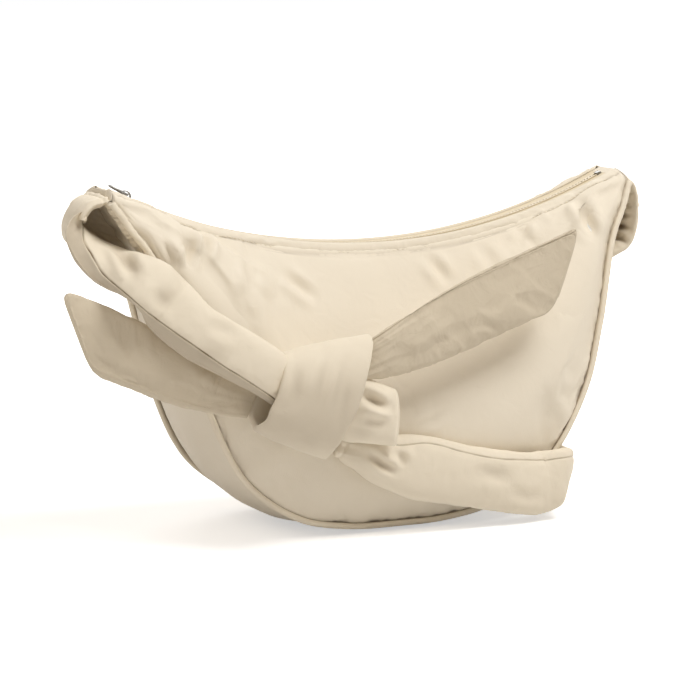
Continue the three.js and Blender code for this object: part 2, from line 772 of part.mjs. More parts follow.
// The bight stands out on the right, below the right tail. Its end stands upright.
function addBight() {
  const rings = [];
  const upright = V(Math.sin(knotTilt), Math.cos(knotTilt), 0);
  const start = bandRight + fitGap;
  for (const [reachShare, heightShare, thickShare] of bightShares) {
    const w = V(0, 1, 0).lerp(upright, reachShare).normalize();
    const height = mix(loopHeight, loopEndHeight, heightShare);
    const centre = V(start + reachShare * loopReach, loopRise + reachShare * loopRise, loopOut);
    rings.push(ovalRing(centre, w, V(0, 0, 1), height, loopThick * thickShare, 12, 0.7));
  }
  addMesh("knot_bight", tubeGeometry(rings), strapCloth, knot);
}

// Each station of a tail: a share of its length, how far it has opened out, and how full it is.
const tailShares = [
  [0, 0, 0],
  [0.05, 0.15, 0.55],
  [0.14, 0.45, 0.9],
  [0.3, 0.8, 1],
  [0.52, 0.97, 1],
  [0.78, 1, 0.9],
  [0.94, 1, 0.6],
  [1, 0.96, 0],
];

// A tail is gathered at the knot, lightly padded, and cut on the slant.
function addTail(name, root, way, side, size, rootSlant, endSlant) {
  const across = side.clone().addScaledVector(way, -side.dot(way)).normalize();
  const out = way.clone().cross(across).normalize();
  const rings = tailShares.map(([reachShare, openShare, fullShare]) => {
    const slant = mix(rootSlant, endSlant, reachShare ** 2);
    const lean = across.clone().addScaledVector(way, slant);
    const width = mix(tailRootWidth, size.width, openShare) * lean.length();
    const centre = root.clone().addScaledVector(way, size.length * reachShare);
    return ovalRing(centre, lean.normalize(), out, width, mix(tailEdge, tailThick, fullShare), 12, 0.8);
  });
  addMesh(name, tubeGeometry(rings), strapCloth);
}

function addTails() {
  const leftRoot = fromKnot(-bandLeft - knotGap, -leftTailDrop, -leftTailSink);
  const leftWay = V(-0.905, 0.2, 0.4).normalize();
  const leftSize = { width: leftTailWidth, length: leftTailLength };
  addTail("tail_left", leftRoot, leftWay, V(0.4, 0.1, 0.9), leftSize, 0, 0.9);
  const rightRoot = fromKnot(bandRight + knotGap, rightTailRise, rightTailOut);
  const rightWay = V(0.949, 0.09, 0.304).normalize();
  const rightSize = { width: rightTailWidth, length: rightTailLength };
  addTail("tail_right", rightRoot, rightWay, V(-0.304, 0, 0.949), rightSize, 0.8, 0.8);
}

addBody();
addPiping("front_piping", front);
addPiping("back_piping", back);
addZip();
addEndTab("zip_end_tab_left", -1);
addEndTab("zip_end_tab_right", 1);
addSlider();
addBand();
addCrossing();
addBight();
addLeftStrap();
addRightStrap();
addTails();

export default bag;
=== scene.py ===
# A half-moon shoulder bag in padded cream nylon, with its wide strap tied in a knot on the front.
# Sizes are in millimetres until a piece is made, and every piece stands in the part's own frame.
import bisect
import bpy
import bmesh
import functools
import json
import math
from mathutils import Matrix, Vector, noise

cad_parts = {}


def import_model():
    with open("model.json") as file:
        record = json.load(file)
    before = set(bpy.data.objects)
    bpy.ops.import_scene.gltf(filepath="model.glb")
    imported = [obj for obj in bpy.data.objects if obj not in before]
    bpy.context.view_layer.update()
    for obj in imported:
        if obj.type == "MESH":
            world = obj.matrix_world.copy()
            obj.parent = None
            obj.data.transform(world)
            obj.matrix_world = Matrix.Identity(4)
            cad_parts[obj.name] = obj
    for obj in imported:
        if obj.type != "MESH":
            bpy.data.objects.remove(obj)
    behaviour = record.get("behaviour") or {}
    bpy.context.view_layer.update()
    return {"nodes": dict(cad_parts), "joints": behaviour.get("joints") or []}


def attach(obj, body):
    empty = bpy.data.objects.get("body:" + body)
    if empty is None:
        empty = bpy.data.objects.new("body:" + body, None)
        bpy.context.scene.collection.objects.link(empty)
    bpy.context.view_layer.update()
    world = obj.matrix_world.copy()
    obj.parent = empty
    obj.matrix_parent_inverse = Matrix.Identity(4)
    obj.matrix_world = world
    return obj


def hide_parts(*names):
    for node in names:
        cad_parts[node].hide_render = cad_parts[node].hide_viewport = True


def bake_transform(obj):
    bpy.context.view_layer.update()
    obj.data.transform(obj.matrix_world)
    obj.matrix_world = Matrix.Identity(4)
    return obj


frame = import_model()
MM = 0.001
TURN = math.tau

# The bag's sizes
TIP_REACH, TIP_HEIGHT, SEAM_RISE = 190, 226, 6
BASE_DEPTH, HORN_DEPTH = 104, 48
PANEL_SWELL, GUSSET_SWELL, BODY_LEAN = 21, 8, 6
HORN_RISE, HORN_INSET = 7, 3
COVER, WADDING, LINING, LAYER_GAP = 2.4, 4, 0.9, 0.5
COVER_DRAWN = COVER - 0.2
PIPING_RADIUS = 2.25
# The zip's ends stand ZIP_RISE above the tips, and its tapes lie TAPE_DROP below the hem.
ZIP_RADIUS, ZIP_HALF, ZIP_REACH, ZIP_RISE, TAPE_DROP = 424, 12.5, TIP_REACH - 8, 4.05, 2.2
ZIP_LOW = TIP_HEIGHT + ZIP_RISE - ZIP_RADIUS + math.sqrt(ZIP_RADIUS ** 2 - ZIP_REACH ** 2)
TAPE_THICK, TAB_THICK, FACING_THICK = 1.0, 1.4, 0.5
# The hem facing is stitched down HEM_ROW from its edge.
HEM_ROW, STITCH, STITCH_PITCH, THREAD_RADIUS = 7.2, 2.6, 3.4, 0.3
WIRE_RADIUS, PULL_LENGTH, PULL_HALF = 0.75, 12.5, 3.25
FIT = 0.4
STRAP_WIDTH, STRAP_THICK, STRAP_DROP, STRAP_FOLD = 46, 15, 8, 8
KNOT_TILT, KNOT_GAP = -0.38, 1.4
BAND_LEFT, BAND_RIGHT, BAND_THICK, BAND_DEPTH = 31, 25, 5, 21
BIGHT_REACH, BIGHT_THICK = 36, 18
TAIL_CORNER, TAIL_ROOT_WIDTH = 10, 23
# The side seam's outline from the middle of the base to a horn, by shares of the bag's reach and height
SEAM_SHARES = [
    (0, 0), (0.2, 0.006), (0.385, 0.042), (0.585, 0.16), (0.72, 0.36),
    (0.79, 0.56), (0.88, 0.82), (0.945, 0.915), (1, 1),
]


# Small helpers

NUDGE = 1e-4  # a small step along a curve, to find its direction


def mix(a, b, share):
    """The value at a share of the way from a to b."""
    return a + (b - a) * share


def clamp(value, low=0.0, high=1.0):
    """The value, held between low and high."""
    return max(low, min(high, value))


def smooth(low, high, value):
    """0 below low, 1 above high, with a soft step between them."""
    t = clamp((value - low) / (high - low))
    return t * t * (3 - 2 * t)


def bump(value, width):
    """1 at 0, falling softly to nothing over about twice the width."""
    return math.exp(-(value / width) ** 2)


def wander(x, y, z=0.0):
    """Smooth noise between about -1 and 1, the same on every run."""
    return noise.noise(Vector((x, y, z)))


def hermite(p0, p1, p2, p3, t, d0, d1, d2):
    """The point at t between p1 and p2, on the curve through four points that lie d0, d1 and d2 apart."""
    t1 = ((p1 - p0) / d0 - (p2 - p0) / (d0 + d1) + (p2 - p1) / d1) * d1
    t2 = ((p2 - p1) / d1 - (p3 - p1) / (d1 + d2) + (p3 - p2) / d2) * d1
    return p1 + t1 * t + (p2 * 3 - p1 * 3 - t1 * 2 - t2) * t ** 2 + (p1 * 2 - p2 * 2 + t1 + t2) * t ** 3


def spline(points, share, even=True):
    """A point on the smooth curve through the points. Even points pull alike, whatever their distance."""
    last = len(points) - 1
    place = clamp(share) * last
    i = min(int(place), last - 1)
    p1, p2 = points[i], points[i + 1]
    p0 = points[i - 1] if i > 0 else p1 * 2 - p2
    p3 = points[i + 2] if i + 2 <= last else p2 * 2 - p1
    if even:
        return hermite(p0, p1, p2, p3, place - i, 1, 1, 1)
    gaps = [max((b - a).length ** 0.5, 1e-4) for a, b in ((p0, p1), (p1, p2), (p2, p3))]
    return hermite(p0, p1, p2, p3, place - i, *gaps)


# The body's surfaces

def seam_place(across, up):
    """A place on the side seam's outline, by shares of the bag's reach and height."""
    x = across * TIP_REACH + BODY_LEAN * math.sin(math.pi * up)
    return Vector((x, 0, mix(SEAM_RISE, TIP_HEIGHT, up)))


SEAM = [seam_place(-a, u) for a, u in SEAM_SHARES[:0:-1]] + [seam_place(a, u) for a, u in SEAM_SHARES]
SEAM_STEPS = 400
SEAM_LINE = [spline(SEAM, i / SEAM_STEPS, even=False) for i in range(SEAM_STEPS + 1)]
SEAM_RUN = [0.0]
for here, there in zip(SEAM_LINE, SEAM_LINE[1:]):
    SEAM_RUN.append(SEAM_RUN[-1] + (there - here).length)
SEAM_LENGTH = SEAM_RUN[-1]


def seam_point(along, inset):
    """A point of the side seam's outline, from the left horn to the right one, moved inwards."""
    run = clamp(along) * SEAM_LENGTH
    low, high = 0, SEAM_STEPS
    while high - low > 1:
        middle = (low + high) // 2
        if SEAM_RUN[middle] > run:
            high = middle
        else:
            low = middle
    share = (run - SEAM_RUN[low]) / (SEAM_RUN[high] - SEAM_RUN[low])
    here = spline(SEAM, (low + share) / SEAM_STEPS, even=False)
    behind = spline(SEAM, clamp((low + share) / SEAM_STEPS - NUDGE), even=False)
    ahead = spline(SEAM, clamp((low + share) / SEAM_STEPS + NUDGE), even=False)
    way = (ahead - behind).normalized()
    return here + Vector((-way.z, 0, way.x)) * inset


def half_depth(height):
    """Half the bag's depth at a height: widest at the base, narrow at the horns."""
    return mix(HORN_DEPTH, BASE_DEPTH, (1 - clamp(height / TIP_HEIGHT) ** 2) ** 0.8) / 2


def zip_arc(x):
    """The height of the hem along the zip, a hollow arc."""
    return ZIP_LOW + ZIP_RADIUS - math.sqrt(ZIP_RADIUS ** 2 - x ** 2)


def hem_height(x):
    """The height of the hem, which rises past the zip's ends to the horns."""
    beyond = max(0, abs(x) - ZIP_REACH) / (TIP_REACH - ZIP_REACH)
    return mix(zip_arc(min(abs(x), ZIP_REACH)), TIP_HEIGHT + HORN_RISE, beyond * beyond * (3 - 2 * beyond))


def panel_point(side, along, down, depth):
    """A point of the front (-1) or back (1) panel, at a depth below its outer face."""
    reach = TIP_REACH - HORN_INSET - depth
    x = mix(-reach, reach, along)
    point = Vector((x, 0, hem_height(x) - depth * 1.4)).lerp(seam_point(along, depth), down)
    seam_half = half_depth(seam_point(along, depth).z)
    rim = mix(ZIP_HALF, seam_half, math.sin(down * math.pi / 2) ** 0.8)
    swell = PANEL_SWELL * math.sin(math.pi * clamp(along)) ** 0.6
    swell *= max(0, math.sin(math.pi * down ** 1.15)) ** 0.85
    point.y = side * (rim + swell - depth * math.sin(min(1, down * 4) * math.pi / 2))
    return point


def gusset_point(along, over, depth):
    """A point of the gusset, from the front seam to the back one."""
    half = half_depth(seam_point(along, depth).z) - depth
    swell = GUSSET_SWELL * math.sin(math.pi * over) * max(0, math.sin(math.pi * along)) ** 0.5
    point = seam_point(along, depth - swell)
    point.y = mix(-half, half, over)
    point.z = max(point.z, depth)
    return point


# Pieces from grids of points

class Grid:
    """Points in rows and columns, with their way over the cloth in millimetres."""

    def __init__(self):
        self.points = []
        self.faces = []
        self.cloth = []

    def face(self, corners, cloth):
        self.faces.append(corners)
        self.cloth.append(cloth)

    def piece(self, name):
        mesh = bpy.data.meshes.new(name)
        mesh.from_pydata([p * MM for p in self.points], [], self.faces)
        layer = mesh.uv_layers.new(name="cloth")
        for polygon, cloth in zip(mesh.polygons, self.cloth):
            for loop, place in zip(polygon.loop_indices, cloth):
                layer.data[loop].uv = (place[0] * MM, place[1] * MM)
        form = bmesh.new()
        form.from_mesh(mesh)
        if form.calc_volume(signed=True) < 0:
            bmesh.ops.reverse_faces(form, faces=form.faces)
        form.to_mesh(mesh)
        form.free()
        mesh.polygons.foreach_set("use_smooth", [True] * len(mesh.polygons))
        # Each point's painted shade, which the cloth's material reads
        mesh.attributes.new("painted_shade", "FLOAT", "POINT")
        piece = bpy.data.objects.new(name, mesh)
        bpy.context.scene.collection.objects.link(piece)
        return piece


def shell(name, columns, rows, face, depths, size):
    """A closed sheet between two depths of a surface. Face gives its point for two shares and a depth, and
    size is its width and length in millimetres."""
    grid = Grid()
    at = lambda layer, i, j: (layer * (columns + 1) + i) * (rows + 1) + j
    way = lambda i, j: (i / columns * size[0], j / rows * size[1])
    for depth in depths:
        grid.points += [face(i / columns, j / rows, depth)
            for i in range(columns + 1) for j in range(rows + 1)]
    for i in range(columns):
        for j in range(rows):
            ways = [way(i, j), way(i + 1, j), way(i + 1, j + 1), way(i, j + 1)]
            grid.face([at(0, i, j), at(0, i + 1, j), at(0, i + 1, j + 1), at(0, i, j + 1)], ways)
            back = [at(1, i, j), at(1, i, j + 1), at(1, i + 1, j + 1), at(1, i + 1, j)]
            grid.face(back, [ways[0], ways[3], ways[2], ways[1]])
    for i in range(columns):
        for j in (0, rows):
            rim = [at(0, i, j), at(1, i, j), at(1, i + 1, j), at(0, i + 1, j)]
            grid.face(rim if j == 0 else rim[::-1], [way(i, j)] * 4)
    for j in range(rows):
        for i in (0, columns):
            rim = [at(0, i, j), at(0, i, j + 1), at(1, i, j + 1), at(1, i, j)]
            grid.face(rim if i == 0 else rim[::-1], [way(i, j)] * 4)
    return grid.piece(name)


def tube(name, rings, joined=False):
    """A closed tube through rings of points."""
    grid = Grid()
    sides = len(rings[0])
    for ring in rings:
        grid.points += ring
    run = 0.0
    last = len(rings) if joined else len(rings) - 1
    for i in range(last):
        follow = (i + 1) % len(rings)
        some = range(0, sides, 4)
        step = sum((rings[i][j] - rings[follow][j]).length for j in some) / len(some)
        turn = 0.0
        for j in range(sides):
            k = (j + 1) % sides
            reach = (rings[i][j] - rings[i][k]).length
            corners = [i * sides + j, i * sides + k, follow * sides + k, follow * sides + j]
            grid.face(corners,
                [(turn, run), (turn + reach, run), (turn + reach, run + step), (turn, run + step)])
            turn += reach
        run += step
    if not joined:
        for end in (0, len(rings) - 1):
            middle = sum(rings[end], Vector()) / sides
            grid.points.append(middle)
            for j in range(sides):
                pair = [end * sides + j, end * sides + (j + 1) % sides]
                if end == 0:
                    pair.reverse()
                grid.face([len(grid.points) - 1] + pair, [(0, 0), (0, 1), (1, 1)])
    return grid.piece(name)


def places_of(piece):
    """Where each point of a piece lies, in millimetres."""
    return [v.co / MM for v in piece.data.vertices]


def relief(piece, amount, painted_shade):
    """Moves each point along its normal by amount(number) millimetres. The last function gives each point's
    painted shade, 1 deep in a seam.
    """
    mesh = piece.data
    normals = [v.normal.copy() for v in mesh.vertices]
    for vertex, normal in zip(mesh.vertices, normals):
        vertex.co += normal * amount(vertex.index) * MM
    mark(piece, [painted_shade(k) for k in range(len(mesh.vertices))])


def mark(piece, values):
    """Keeps, for the material, each point's painted shade, from 0 to 1: deepest in seams, folds and hollows.
    """
    piece.data.attributes["painted_shade"].data.foreach_set("value", values)


def creases(folds, place):
    """How far the folds move the cloth at a place. Each fold is its line, width and depth."""
    return sum(line.valley(place, width, depth) for line, width, depth in folds)


def sunk(folds, place):
    """How far the folds sink the cloth at a place, with no account of their ridges."""
    return sum(max(0.0, -line.valley(place, width, depth)) for line, width, depth in folds)


class Line:
    """A line of points on the cloth, for a fold or a seam that follows it."""

    def __init__(self, *points):
        self.points = points
        self.parts = []
        run = 0.0
        for a, b in zip(points, points[1:]):
            self.parts.append((a, b, math.dist(a, b), run))
            run += math.dist(a, b)
        self.length = run
        self.low = [min(c) for c in zip(*points)]
        self.high = [max(c) for c in zip(*points)]

    def near(self, place, reach):
        """How far a place lies from the line and how far along it, or None beyond reach."""
        if any(p < low - reach or p > high + reach for p, low, high in zip(place, self.low, self.high)):
            return None
        best, along = reach, None
        for a, b, length, run in self.parts:
            share = clamp(sum((p - q) * (r - q) for p, q, r in zip(place, a, b)) / length ** 2)
            away = math.dist(place, [mix(q, r, share) for q, r in zip(a, b)])
            if away < best:
                best, along = away, (run + share * length) / self.length
        return None if along is None else (best, along)

    def valley(self, place, width, depth, ridge=0.6):
        """A soft valley along the line with a low ridge on each side, fading at its ends."""
        found = self.near(place, width * 4)
        if not found:
            return 0.0
        away, along = found
        full = math.sin(math.pi * clamp(along)) ** 1.6
        return full * depth * (ridge * bump(away - width * 1.9, width) - bump(away, width))


CLOTH_FRAMES = 14


def settle(piece, held, pressure, most, grow, ease=lambda k: 1.0):
    """Cloth simulation: a padded skin swells between its held seams, and no point moves further than most.
    Grow is how much larger the cloth is cut, and ease the share of its movement that a point keeps."""
    mesh = piece.data
    start = [v.co.copy() for v in mesh.vertices]
    seam = piece.vertex_groups.new(name="seam")
    seam.add(held, 1.0, "REPLACE")
    cloth = piece.modifiers.new("cloth", "CLOTH")
    cloth.settings.quality = 5
    cloth.settings.mass = 0.15
    cloth.settings.tension_stiffness = 15
    cloth.settings.compression_stiffness = 15
    cloth.settings.shear_stiffness = 5
    cloth.settings.bending_stiffness = 0.6
    cloth.settings.shrink_min = -grow
    cloth.settings.shrink_max = -grow
    cloth.settings.vertex_group_mass = "seam"
    cloth.settings.use_pressure = True
    cloth.settings.uniform_pressure_force = pressure
    cloth.settings.effector_weights.gravity = 0
    cloth.collision_settings.use_collision = False
    cloth.point_cache.frame_start = 1
    cloth.point_cache.frame_end = CLOTH_FRAMES
    scene = bpy.context.scene
    for number in range(1, CLOTH_FRAMES + 1):
        scene.frame_set(number)
    seen = piece.evaluated_get(bpy.context.evaluated_depsgraph_get()).to_mesh()
    ends = [v.co.copy() for v in seen.vertices]
    piece.modifiers.remove(cloth)
    piece.vertex_groups.clear()
    scene.frame_set(1)
    for k, (vertex, a, b) in enumerate(zip(mesh.vertices, start, ends)):
        way = (b - a) * ease(k)
        length = way.length
        if length > 1e-9:
            vertex.co = a + way / length * most * MM * math.tanh(length / (most * MM))
    mesh.update()


# Materials

def features(size):
    """A noise texture's scale for features of a size in millimetres."""
    return 1 / (size * MM)


def bands(size):
    """A wave texture's scale for bands of a width in millimetres. At scale 1 a band is 314 mm wide."""
    return 0.314 / (size * MM)


def linear(code):
    """An sRGB hex colour as linear numbers."""
    parts = [int(code[i:i + 2], 16) / 255 for i in (1, 3, 5)]
    return tuple(c / 12.92 if c <= 0.04045 else ((c + 0.055) / 1.055) ** 2.4 for c in parts) + (1.0,)


def add_node(tree, kind, settings=(), links=()):
    """Adds a node. Settings are its properties or its sockets' values, links are socket and source."""
    node = tree.nodes.new(kind)
    for key, value in dict(settings).items():
        if isinstance(key, str) and hasattr(node, key):
            setattr(node, key, value)
        else:
            node.inputs[key].default_value = value
    for key, source in dict(links).items():
        tree.links.new(source, node.inputs[key])
    return node


def new_material(name):
    """An empty material, and the node tree that it is drawn with."""
    material = bpy.data.materials.new(name)
    material.use_nodes = True
    material.node_tree.nodes.clear()
    return material, material.node_tree


# The colour that the painted shade darkens the cloth towards
DEEP_SHADE = "#6b5535"


def grained_material(name, code, texture, pattern, strength, height, surface):
    """A plain coloured material with a pattern of bumps. Their height is in millimetres."""
    material, tree = new_material(name)
    place = add_node(tree, "ShaderNodeTexCoord").outputs["Object"]
    drawn = add_node(tree, texture, pattern, {"Vector": place})
    raised = add_node(tree, "ShaderNodeBump", {"Strength": strength, "Distance": height * MM},
        {"Height": drawn.outputs["Fac"]})
    shaded = add_node(tree, "ShaderNodeBsdfPrincipled", {"Base Color": linear(code), **surface},
        {"Normal": raised.outputs["Normal"]})
    add_node(tree, "ShaderNodeOutputMaterial", {}, {"Surface": shaded.outputs["BSDF"]})
    return material


def nylon_taffeta(name, code, crinkle=0.42):
    """Matt nylon taffeta: a plain weave with a soft, dry look, a faint sheen and fine dry creases."""
    material, tree = new_material(name)
    cloth = add_node(tree, "ShaderNodeUVMap", {"uv_map": "cloth"}).outputs["UV"]
    # Threads lie 0.3 mm apart, drawn at 0.9 mm so that they show.
    threads = []
    for way in ("X", "Y"):
        wave = add_node(tree, "ShaderNodeTexWave", {"bands_direction": way, "Scale": bands(0.9),
            "Distortion": 0.6, "Detail": 0.0}, {"Vector": cloth})
        threads.append(wave.outputs["Fac"])
    weave = add_node(tree, "ShaderNodeMath", {"operation": "MAXIMUM"}, {0: threads[0], 1: threads[1]})
    # Dry creases of the light cloth, about 14 mm apart.
    place = add_node(tree, "ShaderNodeTexCoord").outputs["Object"]
    crinkles = add_node(tree, "ShaderNodeTexNoise", {"Scale": features(14), "Detail": 5.0, "Roughness": 0.55,
        "Distortion": 0.8}, {"Vector": place})
    # Patches about 60 mm wide are a little darker, and painted shade darkens the seams, folds and hollows.
    patches = add_node(tree, "ShaderNodeTexNoise", {"Scale": features(60), "Detail": 2.0}, {"Vector": place})
    painted_shade = add_node(tree, "ShaderNodeAttribute", {"attribute_name": "painted_shade"})
    darker = tuple(c * 0.94 for c in linear(code)[:3]) + (1.0,)
    tone = add_node(tree, "ShaderNodeMix", {"data_type": "RGBA", 6: linear(code), 7: darker},
        {"Factor": patches.outputs["Fac"]})
    painted_shade_tone = add_node(tree, "ShaderNodeMix", {"data_type": "RGBA", 7: linear(DEEP_SHADE)},
        {"Factor": painted_shade.outputs["Fac"], 6: tone.outputs[2]})
    raised = add_node(tree, "ShaderNodeBump", {"Strength": crinkle, "Distance": 1.2 * MM},
        {"Height": crinkles.outputs["Fac"]})
    woven = add_node(tree, "ShaderNodeBump", {"Strength": 0.12, "Distance": 0.2 * MM},
        {"Height": weave.outputs[0], "Normal": raised.outputs["Normal"]})
    surface = add_node(tree, "ShaderNodeBsdfPrincipled", {"Roughness": 0.72, "Sheen Weight": 0.12,
        "Sheen Roughness": 0.5, "Specular IOR Level": 0.35},
        {"Base Color": painted_shade_tone.outputs[2], "Normal": woven.outputs["Normal"]})
    add_node(tree, "ShaderNodeOutputMaterial", {}, {"Surface": surface.outputs["BSDF"]})
    return material


def polyester_lining(name, code):
    """Polyester lining: thin, smooth and a little glossy."""
    return grained_material(name, code, "ShaderNodeTexNoise", {"Scale": features(9), "Detail": 3.0},
        strength=0.25, height=0.6, surface={"Roughness": 0.5})


def polyester_wadding(name, code):
    """Polyester wadding: loose, fluffy fibre with no gloss."""
    return grained_material(name, code, "ShaderNodeTexNoise",
        {"Scale": features(3), "Detail": 6.0, "Roughness": 0.7},
        strength=0.7, height=1, surface={"Roughness": 0.95})


def woven_zip_tape(name, code):
    """Polyester zip tape: a firm diagonal weave, matt."""
    return grained_material(name, code, "ShaderNodeTexWave",
        {"bands_direction": "DIAGONAL", "Scale": bands(1.2)},
        strength=0.4, height=0.3, surface={"Roughness": 0.85})


def moulded_nylon(name, code):
    """Moulded nylon: smooth, with a soft gloss."""
    return grained_material(name, code, "ShaderNodeTexNoise", {"Scale": features(1.5), "Detail": 2.0},
        strength=0.15, height=0.1, surface={"Roughness": 0.42, "IOR": 1.53})


def plated_zinc(name, code):
    """Die-cast zinc plated with dark nickel and polished: bright, with fine rubbed marks."""
    material, tree = new_material(name)
    place = add_node(tree, "ShaderNodeTexCoord").outputs["Object"]
    marks = add_node(tree, "ShaderNodeTexNoise", {"Scale": features(2), "Detail": 4.0}, {"Vector": place})
    rough = add_node(tree, "ShaderNodeMapRange", {"To Min": 0.16, "To Max": 0.3},
        {"Value": marks.outputs["Fac"]})
    surface = add_node(tree, "ShaderNodeBsdfPrincipled", {"Base Color": linear(code), "Metallic": 1.0},
        {"Roughness": rough.outputs["Result"]})
    add_node(tree, "ShaderNodeOutputMaterial", {}, {"Surface": surface.outputs["BSDF"]})
    return material


BODY_CLOTH = nylon_taffeta("body_nylon_taffeta", "#ede4d2")
PIPING_CLOTH = nylon_taffeta("piping_nylon_taffeta", "#ebe1cd", crinkle=0.5)
STRAP_CLOTH = nylon_taffeta("strap_nylon_taffeta", "#ebe1cd", crinkle=0.5)
# The tails' cloth is the strap's cloth painted darker, as shade.
SHADED_TAIL_CLOTH = nylon_taffeta("tail_nylon_taffeta_shaded", "#d0c4ae", crinkle=0.9)
THREAD = nylon_taffeta("sewing_thread", "#efe6d2", crinkle=0.1)
LINING_CLOTH = polyester_lining("polyester_lining", "#d8cdb6")
WADDING_FIBRE = polyester_wadding("polyester_wadding", "#f2f0ea")
ZIP_TAPE = woven_zip_tape("woven_zip_tape", "#e0d3b8")
ZIP_TEETH = moulded_nylon("moulded_nylon_teeth", "#d8caac")
SLIDER_METAL = plated_zinc("plated_zinc", "#8c8a86")


def dress(piece, material, slot, body, *nodes, fill=None):
    """Finishes a piece: its material, the body it rides on and what it stands for. Its slot in the record is
    not used.
    """
    piece.data.materials.clear()
    piece.data.materials.append(material)
    if nodes:
        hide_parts(*nodes)
    if body:
        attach(piece, body)
    return piece


# Camera, floor and lights

def set_camera():
    """The camera stands where the photograph was taken from, to the left of the front and a little above."""
    azimuth, elevation = math.radians(-25), math.radians(8.5)
    aim, distance = Vector((-20, -20, 118)), 1900
    back = Vector((math.sin(azimuth) * math.cos(elevation), -math.cos(azimuth) * math.cos(elevation),
        math.sin(elevation)))
    camera = bpy.data.objects.new("camera", bpy.data.cameras.new("camera"))
    camera.data.lens = 145.8
    camera.data.sensor_width = 36
    camera.data.clip_end = 50
    camera.location = (aim + back * distance) * MM
    camera.rotation_euler = (-back).to_track_quat("-Z", "Y").to_euler()
    bpy.context.scene.collection.objects.link(camera)
    bpy.context.scene.camera = camera


def seen_rays(tree):
    """1 for what the camera sees, straight or in a gloss."""
    path = add_node(tree, "ShaderNodeLightPath")
    seen = add_node(tree, "ShaderNodeMath", {"operation": "MAXIMUM"},
        {0: path.outputs["Is Camera Ray"], 1: path.outputs["Is Glossy Ray"]})
    return add_node(tree, "ShaderNodeMath", {"operation": "MAXIMUM"},
        {0: seen.outputs[0], 1: path.outputs["Is Transmission Ray"]}).outputs[0]


def set_stage():
    """A pale paper floor, a white room and three soft lamps."""
    bpy.ops.object.select_all(action="DESELECT")
    bpy.ops.mesh.primitive_plane_add(size=24)
    floor = bpy.context.active_object
    floor.name = "studio_floor"
    paint, tree = new_material("studio_paint")
    matt = add_node(tree, "ShaderNodeBsdfDiffuse", {"Color": (0.86, 0.86, 0.86, 1)})
    # Towards the horizon the paper is lit from behind, so it shows as white.
    place = add_node(tree, "ShaderNodeTexCoord").outputs["Object"]
    far = add_node(tree, "ShaderNodeVectorMath", {"operation": "LENGTH"}, {0: place})
    behind = add_node(tree, "ShaderNodeMapRange",
        {"From Min": 0.35, "From Max": 1.1, "To Min": 0.5, "To Max": 1.0}, {"Value": far.outputs["Value"]})
    lift = add_node(tree, "ShaderNodeMath", {"operation": "MULTIPLY"},
        {0: seen_rays(tree), 1: behind.outputs["Result"]})
    glow = add_node(tree, "ShaderNodeEmission", {"Color": (1, 1, 1, 1)}, {"Strength": lift.outputs[0]})
    both = add_node(tree, "ShaderNodeAddShader", {}, {0: matt.outputs[0], 1: glow.outputs[0]})
    add_node(tree, "ShaderNodeOutputMaterial", {}, {"Surface": both.outputs[0]})
    floor.data.materials.append(paint)

    # A dim warm room lights the bag, and the camera sees it as white.
    world = bpy.data.worlds.new("studio")
    bpy.context.scene.world = world
    world.use_nodes = True
    tree = world.node_tree
    tree.nodes.clear()
    dim = add_node(tree, "ShaderNodeBackground", {"Color": (1.0, 0.85, 0.69, 1), "Strength": 0.34})
    white = add_node(tree, "ShaderNodeBackground", {"Color": (1, 1, 1, 1), "Strength": 1.0})
    both = add_node(tree, "ShaderNodeMixShader", {},
        {0: seen_rays(tree), 1: dim.outputs[0], 2: white.outputs[0]})
    add_node(tree, "ShaderNodeOutputWorld", {}, {"Surface": both.outputs[0]})

    # Lamps, in metres and watts
    target = Vector((0, 0, 0.11))
    for name, place, size, power in (
        ("soft_key", (0.7, -0.95, 2.15), 1.1, 37),
        ("soft_fill", (-1.6, -0.7, 1.7), 1.2, 9),
        ("soft_rim", (0.4, 1.7, 1.6), 1.4, 12),
    ):
        lamp = bpy.data.objects.new(name, bpy.data.lights.new(name, "AREA"))
        lamp.data.size = size
        lamp.data.energy = power
        lamp.location = place
        lamp.rotation_euler = (target - Vector(place)).to_track_quat("-Z", "Y").to_euler()
        bpy.context.scene.collection.objects.link(lamp)
    bpy.context.scene.view_settings.view_transform = "Standard"


# Panels. Each fold is its line across and up the panel, its width and its depth.

FRONT_FOLDS = [
    ([(-163, 205), (-160, 194), (-156, 181)], 3.2, 3.6),
    ([(-146, 206), (-143, 195), (-148, 183)], 3.2, 3.8),
    ([(-132, 205), (-128, 195), (-136, 185)], 3.2, 3.4),
    ([(-103, 186), (-101, 174), (-101, 160)], 4.5, 2.0),
    ([(-76, 180), (-66, 169), (-50, 156)], 3.5, 2.4),
    ([(37, 185), (42, 174), (49, 161)], 4, 2.4),
    ([(78, 190), (84, 168)], 4.5, 1.3),
    ([(112, 204), (108, 186)], 3.5, 1.4),
    ([(153, 216), (154, 202), (158, 186)], 4.2, 3.6),
    ([(0, 70), (34, 84)], 3, 1.1),
]
BACK_FOLDS = [
    ([(-155, 214), (-146, 190)], 5, 3.8),
    ([(-96, 190), (-88, 168)], 5, 2.9),
    ([(-20, 184), (-14, 160)], 5, 2.4),
    ([(62, 188), (52, 166)], 5, 3.2),
    ([(128, 208), (118, 184)], 5, 3.5),
    ([(160, 216), (150, 196)], 4, 3.2),
    ([(40, 60), (84, 72)], 4, 1.3),
]
PANEL_COLUMNS, PANEL_ROWS = 190, 88


def row_share(j):
    """Rows lie closer together beside the zip and beside the piping."""
    share = j ** 1.35
    return 1 - (1 - share) ** 1.25


def groove_shade(height, side):
    """How much painted shade lies in the groove beside the piping: most low on the front, less behind and
    near the horns.
    """
    return mix(0.85, 0.3, smooth(60, 120, height)) * (1.0 if side < 0 else 0.5)


